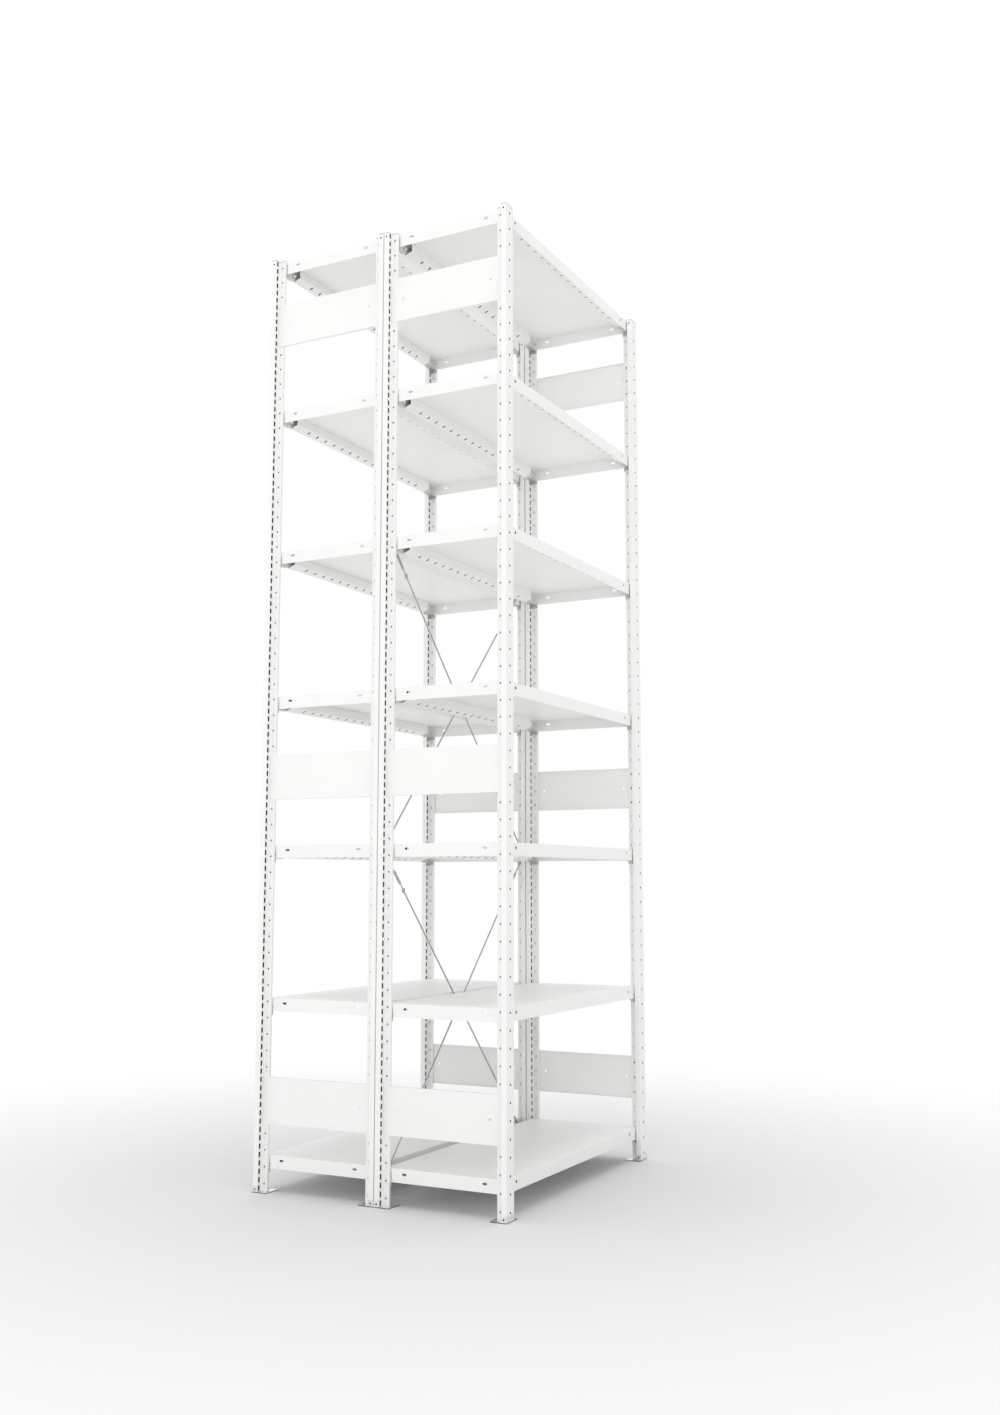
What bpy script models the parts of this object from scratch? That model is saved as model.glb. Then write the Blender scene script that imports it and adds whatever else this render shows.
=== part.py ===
"""Double-sided boltless metal shelving: two units back to back on eight T posts.

Each unit has seven tray shelves that sit on hooked corner supports. Panels tie the posts
at both ends, and two crossed pairs of rods with turnbuckles brace the middle of the unit.
Metres, +Z up, the origin on the floor at the middle. Shelves run along X, and -Y is the
aisle side that the front unit faces.
"""
import math

import bmesh
import bpy
from mathutils import Matrix, Vector

# Fits that every piece shares
PLAY = 0.0003
WELD = 0.0001
OVERRUN = 0.0006
MERGE_DISTANCE = 0.00001

# Posts: a hollow T, its head to the aisle and its stem to the shelves
POST_HEIGHT = 3.000
HEAD_WIDTH = 0.048
HEAD_DEPTH = 0.018
STEM_WIDTH = 0.009
STEM_REACH = 0.022
POST_SHEET = 0.0015
POST_BEND = 0.002
SLOT_PITCH = 0.025
FIRST_SLOT = 0.0125
SLOT_HEIGHT = 0.016
SLOT_WIDTH = 0.0075
SLOT_OFFSET = 0.0165
HOLE_PITCH = 0.050
FIRST_HOLE = 0.025
STEM_HOLE_DIAMETER = 0.0072

# Shelves: sheet trays, their levels counted in post slots
SHELF_LENGTH = 0.990
SHELF_DEPTH = 0.397
SHELF_SHEET = 0.001
FLANGE_HEIGHT = 0.040
LIP_REACH = 0.027
LIP_RISE = 0.011
LOWER_SHELVES = 6
FIRST_LEVEL_SLOT = 3
LEVEL_SLOTS = 19
DECK_OVER_HOOK = 0.0225
FLANGE_SLOT_LENGTH = 0.015
FLANGE_SLOT_HEIGHT = 0.007
FLANGE_SLOT_SPREAD = 0.262
FLANGE_SLOT_DROP = 0.0155

# Corner supports: a folded shoe with a hook, one under each shelf corner
SUPPORT_SHEET = 0.0015
LEDGE_LENGTH = 0.064
LEDGE_DEPTH = 0.031
HOOK_HEIGHT = 0.008
HOOK_REACH = 0.003
SUPPORT_MARGIN = 0.001
SUPPORT_SKIRT = 0.012

# End panels, their levels counted in stem holes from the floor or the top
PANEL_HEIGHT = 0.142
PANEL_SHEET = 0.0012
PANEL_FOLD = 0.010
PANEL_HOLE_DIAMETER = 0.008
PANEL_HOLE_SPREAD = 0.312
LOW_PANEL_HOLE = 5
MID_PANEL_HOLE = 25
TOP_PANEL_DROP_HOLES = 4
TAB_WIDTH = 0.005
TAB_REACH = 0.0015

# Feet
FOOT_PLATE = 0.0025
FOOT_SLEEVE_HEIGHT = 0.022
FOOT_SLEEVE_SHEET = 0.001
FOOT_OUTER_MARGIN = 0.0025
FOOT_INNER_MARGIN = 0.015
FOOT_TIP_MARGIN = 0.012
FOOT_HOLE_DIAMETER = 0.006
FOOT_SLOT_LENGTH = 0.016
SLEEVE_HOLE_HEIGHT = 0.010

# Cross bracing between the units
ROD_DIAMETER = 0.005
ROD_INSET = 0.0048
ROD_PASS_GAP = 0.0005
ROD_HOLE_DIAMETER = 0.0064
BRACE_BOTTOM = 0.057
BRACE_HEIGHT = 0.985
BRACE_PITCH_HOLES = 20
BRACE_COUNT = 2
HOOK_LEAD = 0.007
ROD_BEND = 0.006
ROD_TIP_RISE = 0.009
TURNBUCKLE_LENGTH = 0.046
TURNBUCKLE_WIDTH = 0.011
TURNBUCKLE_SETBACK = 0.119
TURNBUCKLE_MID_GAP = 0.012
LOCK_NUT_LENGTH = 0.005
LOCK_NUT_WIDTH = 0.009

# Rounding steps
HOLE_SIDES = 6
HEX_SIDES = 6
BORE_SIDES = 8
ROD_BEND_STEPS = 2

# Places that follow from the sizes above
SEAT_GAP = SUPPORT_SHEET + 2 * PLAY
POST_PITCH = SHELF_LENGTH + 2 * SEAT_GAP + STEM_WIDTH
UNIT_DEPTH = SHELF_DEPTH + 2 * SEAT_GAP + 2 * HEAD_DEPTH
UNIT_PITCH = UNIT_DEPTH + 2 * (PLAY + FOOT_SLEEVE_SHEET) + PLAY
POST_BOTTOM = FOOT_PLATE + PLAY
STEM_HOLE_DEPTH = HEAD_DEPTH + STEM_REACH / 2
LAST_SLOT = int((POST_HEIGHT - FIRST_SLOT) / SLOT_PITCH)
LAST_HOLE = int((POST_HEIGHT - FIRST_HOLE) / HOLE_PITCH)
ROD_DEPTHS = (ROD_INSET, ROD_INSET + ROD_DIAMETER + ROD_PASS_GAP)
BRACE_WALL = POST_PITCH / 2 - HEAD_WIDTH / 2
ENDS = {"left": -1, "right": 1}

PAINT = {"colour": (0.90, 0.90, 0.885), "roughness": 0.42, "metallic": 0.0}
ZINC = {"colour": (0.62, 0.62, 0.60), "roughness": 0.38, "metallic": 0.9}
ROD_STEEL = {"colour": (0.50, 0.51, 0.50), "roughness": 0.35, "metallic": 0.9}


def slot_height(index):
    """Height of a post slot's centre above the floor."""
    return FIRST_SLOT + index * SLOT_PITCH


def hole_height(index):
    """Height of a stem hole's centre above the floor."""
    return FIRST_HOLE + index * HOLE_PITCH


def shelf_levels():
    """List the shelves of a unit as (slot of their hooks, deck height over that slot)."""
    lower = [(FIRST_LEVEL_SLOT + step * LEVEL_SLOTS, DECK_OVER_HOOK) for step in range(LOWER_SHELVES)]
    return lower + [(LAST_SLOT, DECK_OVER_HOOK - SLOT_PITCH / 2)]


def panel_heights():
    """Heights of the end panels' middles."""
    holes = (LOW_PANEL_HOLE, MID_PANEL_HOLE, LAST_HOLE - TOP_PANEL_DROP_HOLES)
    return dict(zip(("low", "mid", "top"), (hole_height(hole) for hole in holes)))


def brace_ends():
    """List each crossed pair as (height of its lower hooks, height of its upper hooks)."""
    bottoms = [BRACE_BOTTOM + step * BRACE_PITCH_HOLES * HOLE_PITCH for step in range(BRACE_COUNT)]
    return dict(zip(("lower", "upper"), ((low, low + BRACE_HEIGHT) for low in bottoms)))


# Shared modelling steps

def new_collection(name):
    """Add an empty collection to the scene."""
    collection = bpy.data.collections.new(name)
    bpy.context.scene.collection.children.link(collection)
    return collection


def mesh_object(name, mesh, collection):
    """Make an object of a mesh and link it."""
    obj = bpy.data.objects.new(name, mesh)
    collection.objects.link(obj)
    return obj


def mesh_from(name, bm):
    """Turn a finished bmesh into a mesh with its faces pointing out."""
    bmesh.ops.remove_doubles(bm, verts=bm.verts, dist=MERGE_DISTANCE)
    bmesh.ops.recalc_face_normals(bm, faces=bm.faces)
    mesh = bpy.data.meshes.new(name)
    bm.to_mesh(mesh)
    bm.free()
    return mesh


def baked_mesh(obj):
    """Return what an object looks like with its modifiers, and remove the object."""
    graph = bpy.context.evaluated_depsgraph_get()
    mesh = bpy.data.meshes.new_from_object(obj.evaluated_get(graph), depsgraph=graph)
    mesh.transform(obj.matrix_world)
    bpy.data.objects.remove(obj)
    return mesh


def extruded(name, outlines, height):
    """Raise flat outlines from z = 0, the first one solid and the others holes."""
    curve = bpy.data.curves.new(name, "CURVE")
    curve.dimensions = "2D"
    curve.fill_mode = "BOTH"
    curve.extrude = height / 2
    for outline in outlines:
        spline = curve.splines.new("POLY")
        spline.points.add(len(outline) - 1)
        for point, place in zip(spline.points, outline):
            point.co = (*place, 0, 1)
        spline.use_cyclic_u = True
    obj = mesh_object(name, curve, CUTTERS)
    obj.location.z = height / 2
    bpy.context.view_layer.update()
    bm = bmesh.new()
    bm.from_mesh(baked_mesh(obj))
    return mesh_from(name, bm)


def tube(name, points, diameter):
    """Sweep a round bar along points, with filled ends."""
    curve = bpy.data.curves.new(name, "CURVE")
    curve.dimensions = "3D"
    curve.bevel_depth = diameter / 2
    curve.bevel_resolution = 1
    curve.use_fill_caps = True
    spline = curve.splines.new("POLY")
    spline.points.add(len(points) - 1)
    for point, place in zip(spline.points, points):
        point.co = (*place, 1)
    obj = mesh_object(name, curve, CUTTERS)
    bpy.context.view_layer.update()
    bm = bmesh.new()
    bm.from_mesh(baked_mesh(obj))
    return mesh_from(name, bm)


def add_box(bm, low, high):
    """Add a box between two corners."""
    low, high = Vector(low), Vector(high)
    place = Matrix.Translation((low + high) / 2) @ Matrix.Diagonal((*(high - low), 1))
    bmesh.ops.create_cube(bm, size=1, matrix=place)


def add_round(bm, centre, axis, diameter, depth, sides=HOLE_SIDES, length=0):
    """Add a round bar along an axis, or an oblong one when it has a length across.

    The bar lies along X or Y, and its length across runs along the other of the two;
    along Z its length across runs along Y.
    """
    turn = {"X": Matrix.Rotation(math.pi / 2, 4, "Y"), "Z": Matrix.Identity(4),
            "Y": Matrix.Rotation(math.pi / 2, 4, "X") @ Matrix.Rotation(math.pi / 2, 4, "Z")}[axis]
    flat = Matrix.Rotation(math.pi / sides, 4, "Z")
    made = bmesh.ops.create_cone(bm, cap_ends=True, segments=sides, radius1=diameter / 2,
                                 radius2=diameter / 2, depth=depth, matrix=flat)
    stretch = max(0, length - diameter) / 2
    for vert in made["verts"]:
        vert.co.y += math.copysign(stretch, vert.co.y)
        vert.co = Vector(centre) + turn @ vert.co


def boolean(obj, mesh, operation):
    """Cut a mesh from an object, or join it on, and keep the other shape as a guide."""
    other = mesh_object(f"{obj.name}_{operation.lower()}", mesh, CUTTERS)
    other.display_type = "WIRE"
    other.hide_render = True
    modifier = obj.modifiers.new(operation.lower(), "BOOLEAN")
    modifier.operation = operation
    modifier.solver = "EXACT"
    modifier.object = other


def worked(mesh, *steps):
    """Apply Boolean steps, each an (operation, mesh) pair, and return the mesh."""
    for operation, other in steps:
        obj = mesh_object(mesh.name, mesh, CUTTERS)
        boolean(obj, other, operation)
        mesh = baked_mesh(obj)
        for used in list(CUTTERS.objects):
            bpy.data.objects.remove(used)
    return mesh


def fold_on(bm, edges, step):
    """Add a strip of sheet to some edges and return the edges that it ends in."""
    grown = bmesh.ops.extrude_edge_only(bm, edges=edges)["geom"]
    moved = [part for part in grown if isinstance(part, bmesh.types.BMVert)]
    bmesh.ops.translate(bm, vec=step, verts=moved)
    return [part for part in grown if isinstance(part, bmesh.types.BMEdge)
            and all(vert in moved for vert in part.verts)]


def folded_sheet(surface, thickness):
    """Give an open surface a sheet's thickness behind its faces."""
    obj = mesh_object(surface.name, surface, CUTTERS)
    wall = obj.modifiers.new("sheet", "SOLIDIFY")
    wall.solidify_mode = "NON_MANIFOLD"
    wall.nonmanifold_thickness_mode = "CONSTRAINTS"
    wall.thickness = thickness
    wall.offset = -1
    return baked_mesh(obj)


def material(name, finish):
    """Make a part's own material."""
    made = bpy.data.materials.new(name)
    made.use_nodes = True
    shader = made.node_tree.nodes["Principled BSDF"]
    shader.inputs["Base Color"].default_value = (*finish["colour"], 1)
    shader.inputs["Roughness"].default_value = finish["roughness"]
    shader.inputs["Metallic"].default_value = finish["metallic"]
    made.diffuse_color = (*finish["colour"], 1)
    return made


def place_part(name, mesh, finish, location, turned=False, tilt=0):
    """Place one named piece, turned half round about Z or tilted about Y where asked."""
    obj = mesh_object(name, mesh, PARTS)
    obj.location = location
    obj.rotation_euler = (0, tilt, math.pi if turned else 0)
    obj.parent = UNIT_ORIGIN
    if not mesh.materials:
        mesh.materials.append(None)
    obj.material_slots[0].link = "OBJECT"
    obj.material_slots[0].material = material(name, finish)
    return obj


# Posts

def chamfered(points, cut, beyond):
    """Cut the corners of an outline that lie this far or farther from its Y axis."""
    result = []
    for before, corner, after in zip(points[-1:] + points[:-1], points, points[1:] + points[:1]):
        if abs(corner[0]) < beyond:
            result.append(corner)
            continue
        for other in (before, after):
            step = Vector(other) - Vector(corner)
            result.append(tuple(Vector(corner) + step.normalized() * cut))
    return result


def t_outline(inset=0):
    """Outline of the T section, or of its hollow when it is inset by the sheet."""
    head = HEAD_WIDTH / 2 - inset
    stem = STEM_WIDTH / 2 - inset
    root = HEAD_DEPTH - inset
    tip = HEAD_DEPTH + STEM_REACH - inset
    return [(-head, inset), (head, inset), (head, root), (stem, root),
            (stem, tip), (-stem, tip), (-stem, root), (-head, root)]


def post_mesh(side, rod_holes):
    """Model a post whose shelves are on the given side of its own X."""
    outer = chamfered(t_outline(), POST_BEND, HEAD_WIDTH / 2)
    post = extruded("post", [outer, t_outline(POST_SHEET)], POST_HEIGHT - POST_BOTTOM)
    post.transform(Matrix.Translation((0, 0, POST_BOTTOM)))
    bm = bmesh.new()
    wall = HEAD_DEPTH - POST_SHEET
    middle = side * SLOT_OFFSET
    for slot, _ in shelf_levels():
        height = slot_height(slot)
        add_box(bm, (middle - SLOT_WIDTH / 2, wall - OVERRUN, height - SLOT_HEIGHT / 2),
                (middle + SLOT_WIDTH / 2, HEAD_DEPTH + OVERRUN, height + SLOT_HEIGHT / 2))
    stem_wall = STEM_WIDTH / 2 - POST_SHEET / 2
    for height in panel_heights().values():
        add_round(bm, (-side * stem_wall, STEM_HOLE_DEPTH, height + HOLE_PITCH), "X",
                  STEM_HOLE_DIAMETER, POST_SHEET + 2 * OVERRUN)
    head_wall = HEAD_WIDTH / 2 - POST_SHEET / 2
    for depth, height in rod_holes:
        add_round(bm, (side * head_wall, depth, height), "X",
                  ROD_HOLE_DIAMETER, POST_SHEET + 2 * OVERRUN, BORE_SIDES)
    return worked(post, ("DIFFERENCE", mesh_from("post_cuts", bm)))


# Shelves

def support_mesh(deck_over_hook):
    """Model the supports of a shelf's four corners, measured from its deck's middle."""
    left = -SHELF_LENGTH / 2 - PLAY - SUPPORT_SHEET
    front = -SHELF_DEPTH / 2 - PLAY - SUPPORT_SHEET
    wing_edge = -POST_PITCH / 2 + HEAD_WIDTH / 2
    stem_tip = -UNIT_DEPTH / 2 + HEAD_DEPTH + STEM_REACH
    seat = PLAY - SLOT_HEIGHT / 2 - deck_over_hook
    highest = seat + HOOK_HEIGHT + SUPPORT_MARGIN
    legs = [(left, front), (wing_edge, front), (wing_edge, front + SUPPORT_SHEET),
            (left + SUPPORT_SHEET, front + SUPPORT_SHEET), (left + SUPPORT_SHEET, stem_tip), (left, stem_tip)]
    lowest = -FLANGE_HEIGHT - SUPPORT_SKIRT
    shoe = extruded("support", [legs], highest - lowest)
    shoe.transform(Matrix.Translation((0, 0, lowest)))
    ledge = bmesh.new()
    add_box(ledge, (left + SUPPORT_SHEET / 2, front + SUPPORT_SHEET / 2, -FLANGE_HEIGHT - SUPPORT_SHEET),
            (-SHELF_LENGTH / 2 + LEDGE_LENGTH, -SHELF_DEPTH / 2 + LEDGE_DEPTH, -FLANGE_HEIGHT + WELD))
    hook_middle = -POST_PITCH / 2 + SLOT_OFFSET
    hook_half = SLOT_WIDTH / 2 - PLAY
    wall_inside = front - PLAY - POST_SHEET - PLAY
    hook = bmesh.new()
    profile = [(front + WELD, seat), (wall_inside, seat), (wall_inside, seat - HOOK_REACH),
               (wall_inside - SUPPORT_SHEET, seat - HOOK_REACH),
               (wall_inside - SUPPORT_SHEET, seat + HOOK_HEIGHT), (front + WELD, seat + HOOK_HEIGHT)]
    face = hook.faces.new([hook.verts.new((hook_middle - hook_half, *place)) for place in profile])
    grown = bmesh.ops.extrude_face_region(hook, geom=[face])["geom"]
    moved = [part for part in grown if isinstance(part, bmesh.types.BMVert)]
    bmesh.ops.translate(hook, vec=(2 * hook_half, 0, 0), verts=moved)
    shoe = worked(shoe, ("UNION", mesh_from("ledge", ledge)), ("UNION", mesh_from("hook", hook)))
    corners = mesh_object("supports", shoe, CUTTERS)
    mirror = corners.modifiers.new("corners", "MIRROR")
    mirror.use_axis = (True, True, False)
    mirror.merge_threshold = MERGE_DISTANCE
    return baked_mesh(corners)


def tray_mesh():
    """Fold the tray of a shelf, its deck's top at z = 0.

    Its long sides turn in along the bottom as slanting lips, and up again to the deck.
    """
    half_length, half_depth = SHELF_LENGTH / 2, SHELF_DEPTH / 2
    lip_end = half_length - LEDGE_LENGTH - PLAY
    bm = bmesh.new()
    add_box(bm, (-half_length, -half_depth, -FLANGE_HEIGHT), (half_length, half_depth, 0))
    underside = [face for face in bm.faces if face.calc_center_median().z < MERGE_DISTANCE - FLANGE_HEIGHT]
    bmesh.ops.delete(bm, geom=underside, context="FACES")
    for end in (-lip_end, lip_end):
        whole = list(bm.verts) + list(bm.edges) + list(bm.faces)
        bmesh.ops.bisect_plane(bm, geom=whole, dist=MERGE_DISTANCE, plane_co=(end, 0, 0), plane_no=(1, 0, 0))
    for side in (-1, 1):
        bottom = [edge for edge in bm.edges if all(
            vert.co.z < MERGE_DISTANCE - FLANGE_HEIGHT and abs(vert.co.x) < lip_end + MERGE_DISTANCE
            and vert.co.y * side > half_depth - MERGE_DISTANCE for vert in edge.verts)]
        edge_of_lip = fold_on(bm, bottom, (0, -side * LIP_REACH, LIP_RISE))
        fold_on(bm, edge_of_lip, (0, 0, FLANGE_HEIGHT - LIP_RISE - SHELF_SHEET - PLAY))
    return folded_sheet(mesh_from("tray", bm), SHELF_SHEET)


def shelf_mesh(deck_over_hook):
    """Model a shelf with its flange slots and the four supports that carry it."""
    cuts = bmesh.new()
    depth = SHELF_SHEET + 2 * OVERRUN
    for end in (-1, 1):
        for side in (-1, 1):
            add_round(cuts, (end * (SHELF_LENGTH - SHELF_SHEET) / 2, side * FLANGE_SLOT_SPREAD / 2,
                             -FLANGE_SLOT_DROP), "X", FLANGE_SLOT_HEIGHT, depth, length=FLANGE_SLOT_LENGTH)
    return worked(tray_mesh(), ("DIFFERENCE", mesh_from("shelf_cuts", cuts)), ("UNION", support_mesh(deck_over_hook)))


# End panels

def panel_mesh():
    """Model a left-hand end panel, its outer face to -X and its middle at the origin."""
    half_width = UNIT_DEPTH / 2 - HEAD_DEPTH - SEAT_GAP
    fold_end = UNIT_DEPTH / 2 - HEAD_DEPTH - STEM_REACH - SEAT_GAP
    half_height = PANEL_HEIGHT / 2
    bm = bmesh.new()
    bmesh.ops.create_grid(bm, x_segments=1, y_segments=1, size=1)
    bmesh.ops.transform(bm, verts=bm.verts, matrix=Matrix.Rotation(math.pi / 2, 4, "Y"))
    bmesh.ops.scale(bm, verts=bm.verts, vec=(1, half_width, half_height))
    for end in (-fold_end, fold_end):
        whole = list(bm.verts) + list(bm.edges) + list(bm.faces)
        bmesh.ops.bisect_plane(bm, geom=whole, dist=MERGE_DISTANCE, plane_co=(0, end, 0), plane_no=(0, 1, 0))
    rims = [edge for edge in bm.edges if all(abs(vert.co.y) < fold_end + MERGE_DISTANCE for vert in edge.verts)
            and abs(edge.verts[0].co.z - edge.verts[1].co.z) < half_height]
    fold_on(bm, rims, (PANEL_FOLD, 0, 0))
    bmesh.ops.recalc_face_normals(bm, faces=bm.faces)
    if sum(face.normal.x * face.calc_area() for face in bm.faces) > 0:
        bmesh.ops.reverse_faces(bm, faces=bm.faces)
    sheet = bpy.data.meshes.new("panel")
    bm.to_mesh(sheet)
    bm.free()
    panel = folded_sheet(sheet, PANEL_SHEET)
    tabs = bmesh.new()
    holes = bmesh.new()
    tab_end = PANEL_SHEET + PLAY + POST_SHEET + TAB_REACH
    for side in (-1, 1):
        middle = side * (UNIT_DEPTH / 2 - STEM_HOLE_DEPTH)
        add_box(tabs, (PANEL_SHEET / 2, middle - TAB_WIDTH / 2, HOLE_PITCH - PANEL_SHEET / 2),
                (tab_end, middle + TAB_WIDTH / 2, HOLE_PITCH + PANEL_SHEET / 2))
        add_round(holes, (PANEL_SHEET / 2, side * PANEL_HOLE_SPREAD / 2, 0), "X",
                  PANEL_HOLE_DIAMETER, PANEL_SHEET + 2 * OVERRUN)
    return worked(panel, ("DIFFERENCE", mesh_from("panel_holes", holes)), ("UNION", mesh_from("tabs", tabs)))


# Feet

def foot_mesh(side):
    """Model a foot for a post whose shelves are on the given side of its own X."""
    inner = side * (HEAD_WIDTH / 2 + FOOT_INNER_MARGIN)
    outer = -side * (HEAD_WIDTH / 2 + FOOT_OUTER_MARGIN)
    left, right = sorted((inner, outer))
    front = -PLAY - FOOT_SLEEVE_SHEET
    back = HEAD_DEPTH + STEM_REACH + FOOT_TIP_MARGIN
    plate = extruded("foot", [[(left, front), (right, front), (right, back), (left, back)]], FOOT_PLATE)
    inside = HEAD_WIDTH / 2 + PLAY
    outside = inside + FOOT_SLEEVE_SHEET
    band = [(-outside, front), (outside, front), (outside, HEAD_DEPTH), (inside, HEAD_DEPTH),
            (inside, -PLAY), (-inside, -PLAY), (-inside, HEAD_DEPTH), (-outside, HEAD_DEPTH)]
    sleeve = extruded("sleeve", [band], FOOT_SLEEVE_HEIGHT)
    sleeve.transform(Matrix.Translation((0, 0, FOOT_PLATE - WELD)))
    cuts = bmesh.new()
    add_round(cuts, (0, (HEAD_DEPTH + STEM_REACH + back) / 2, FOOT_PLATE / 2), "Z",
              FOOT_HOLE_DIAMETER, FOOT_PLATE + 2 * OVERRUN)
    add_round(cuts, ((HEAD_WIDTH / 2 + FOOT_INNER_MARGIN / 2 + FOOT_SLEEVE_SHEET / 2) * side, HEAD_DEPTH,
                     FOOT_PLATE / 2), "Z", FOOT_HOLE_DIAMETER, FOOT_PLATE + 2 * OVERRUN,
              length=FOOT_SLOT_LENGTH)
    add_round(cuts, (-side * (inside + FOOT_SLEEVE_SHEET / 2), HEAD_DEPTH / 2, SLEEVE_HOLE_HEIGHT), "X",
              FOOT_HOLE_DIAMETER, FOOT_SLEEVE_SHEET + PLAY)
    return worked(plate, ("UNION", sleeve), ("DIFFERENCE", mesh_from("foot_cuts", cuts)))


# Cross bracing

def rounded_path(points, radius):
    """Replace each inner corner of a path by points on an arc."""
    path = [Vector(points[0])]
    for before, corner, after in zip(points, points[1:], points[2:]):
        corner = Vector(corner)
        back, ahead = (Vector(before) - corner).normalized(), (Vector(after) - corner).normalized()
        half = back.angle(ahead) / 2
        inward = (back + ahead).normalized()
        centre = corner + inward * (radius / math.sin(half))
        start = corner + back * (radius / math.tan(half)) - centre
        end = corner + ahead * (radius / math.tan(half)) - centre
        for step in range(ROD_BEND_STEPS + 1):
            share = step / ROD_BEND_STEPS
            path.append(centre + start.normalized().slerp(end.normalized(), share) * radius)
    path.append(Vector(points[-1]))
    return path


def brace_line():
    """Give the straight run of a rising rod as its two ends and its direction.

    Heights are measured from the rod's lower hook.
    """
    low = Vector((HOOK_LEAD - BRACE_WALL, 0, 0))
    high = Vector((BRACE_WALL - HOOK_LEAD, 0, BRACE_HEIGHT))
    return low, high, (high - low).normalized()


def hook_points(corner, outward):
    """Points of a rod's end: through the post's wall and up or down behind it."""
    behind = HOOK_LEAD + POST_SHEET + PLAY + ROD_BEND
    turn = corner + Vector((outward * behind, 0, 0))
    return [turn, turn + Vector((0, 0, outward * ROD_TIP_RISE))]


def rod_meshes():
    """Model the long rod, and the short hook rod with its lock nut, of a rising brace."""
    low, high, direction = brace_line()
    middle = high - direction * TURNBUCKLE_SETBACK
    long_end = middle - direction * (TURNBUCKLE_MID_GAP / 2)
    short_end = middle + direction * (TURNBUCKLE_MID_GAP / 2)
    turn, tip = hook_points(low, -1)
    long_rod = tube("long_rod", rounded_path([tip, turn, low, long_end], ROD_BEND), ROD_DIAMETER)
    turn, tip = hook_points(high, 1)
    hook_rod = tube("hook_rod", rounded_path([short_end, high, turn, tip], ROD_BEND), ROD_DIAMETER)
    nut_middle = middle + direction * (TURNBUCKLE_LENGTH / 2 + PLAY + LOCK_NUT_LENGTH / 2)
    nut = extruded("lock_nut", [polygon(LOCK_NUT_WIDTH, HEX_SIDES)], LOCK_NUT_LENGTH)
    nut.transform(Matrix.Translation((0, 0, -LOCK_NUT_LENGTH / 2)))
    nut.transform(Matrix.Translation(nut_middle) @ Matrix.Rotation(brace_tilt(), 4, "Y"))
    return long_rod, worked(hook_rod, ("UNION", nut))


def polygon(diameter, sides):
    """Corners of a regular outline."""
    return [(diameter / 2 * math.cos(2 * math.pi * step / sides),
             diameter / 2 * math.sin(2 * math.pi * step / sides)) for step in range(sides)]


def brace_tilt():
    """Angle that tips the Z axis along a rising rod."""
    direction = brace_line()[2]
    return math.atan2(direction.x, direction.z)


def turnbuckle_mesh():
    """Model the turnbuckle sleeve, its axis along Z and its middle at the origin."""
    bore = ROD_DIAMETER + 4 * PLAY
    sleeve = extruded("turnbuckle", [polygon(TURNBUCKLE_WIDTH, HEX_SIDES), polygon(bore, BORE_SIDES)],
                      TURNBUCKLE_LENGTH)
    sleeve.transform(Matrix.Translation((0, 0, -TURNBUCKLE_LENGTH / 2)))
    return sleeve


# Assembly

def rod_holes(end):
    """List the wall holes of the rear unit's inner post at one end, as (depth, height)."""
    rising, falling = ROD_DEPTHS
    pairs = brace_ends().values()
    if end == "left":
        return [hole for low, high in pairs for hole in ((rising, low), (falling, high))]
    return [hole for low, high in pairs for hole in ((falling, low), (rising, high))]


def build_unit(unit, middle):
    """Place the posts, feet, shelves and end panels of one unit."""
    for end, sign in ENDS.items():
        for row, turned in (("front", False), ("back", True)):
            side = sign if turned else -sign
            holes = rod_holes(end) if (unit, row) == ("rear", "front") else []
            face = middle + (UNIT_DEPTH / 2 if turned else -UNIT_DEPTH / 2)
            place = (sign * POST_PITCH / 2, face, 0)
            place_part(f"{unit}_unit_post_{end}_{row}", post_mesh(side, holes), PAINT, place, turned)
            place_part(f"{unit}_unit_foot_{end}_{row}", foot_mesh(side), ZINC, place, turned)
        for name, height in panel_heights().items():
            outer_face = sign * (POST_PITCH / 2 + STEM_WIDTH / 2 + PLAY + PANEL_SHEET)
            place_part(f"{unit}_unit_end_panel_{end}_{name}", PANEL, PAINT,
                       (outer_face, middle, height), sign > 0)
    for number, (slot, deck_over_hook) in enumerate(shelf_levels(), 1):
        mesh = TOP_SHELF if slot == LAST_SLOT else LOWER_SHELF
        place_part(f"{unit}_unit_shelf_{number}", mesh, PAINT, (0, middle, slot_height(slot) + deck_over_hook))


def build_braces():
    """Place the crossed rods that hook into the rear unit's inner posts."""
    long_rod, hook_rod = rod_meshes()
    turnbuckle = turnbuckle_mesh()
    high, direction = brace_line()[1:]
    post_face = UNIT_PITCH / 2 - UNIT_DEPTH / 2
    for pair, (bottom, _) in brace_ends().items():
        for lean, depth in zip(("rising", "falling"), ROD_DEPTHS):
            turned = lean == "falling"
            place = Vector((0, post_face + depth, bottom))
            name = f"brace_{pair}_{lean}"
            place_part(f"{name}_long_rod", long_rod, ROD_STEEL, place, turned)
            place_part(f"{name}_hook_rod", hook_rod, ROD_STEEL, place, turned)
            middle = high - direction * TURNBUCKLE_SETBACK
            if turned:
                middle = Matrix.Rotation(math.pi, 4, "Z") @ middle
            place_part(f"{name}_turnbuckle", turnbuckle, ROD_STEEL, place + middle, turned, brace_tilt())


for old in list(bpy.data.objects):
    bpy.data.objects.remove(old)
PARTS = new_collection("metal_shelving_unit")
CUTTERS = new_collection("cutters")
UNIT_ORIGIN = bpy.data.objects.new("shelving_origin", None)
PARTS.objects.link(UNIT_ORIGIN)
LOWER_SHELF = shelf_mesh(shelf_levels()[0][1])
TOP_SHELF = shelf_mesh(shelf_levels()[-1][1])
PANEL = panel_mesh()
build_unit("front", -UNIT_PITCH / 2)
build_unit("rear", UNIT_PITCH / 2)
build_braces()
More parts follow.
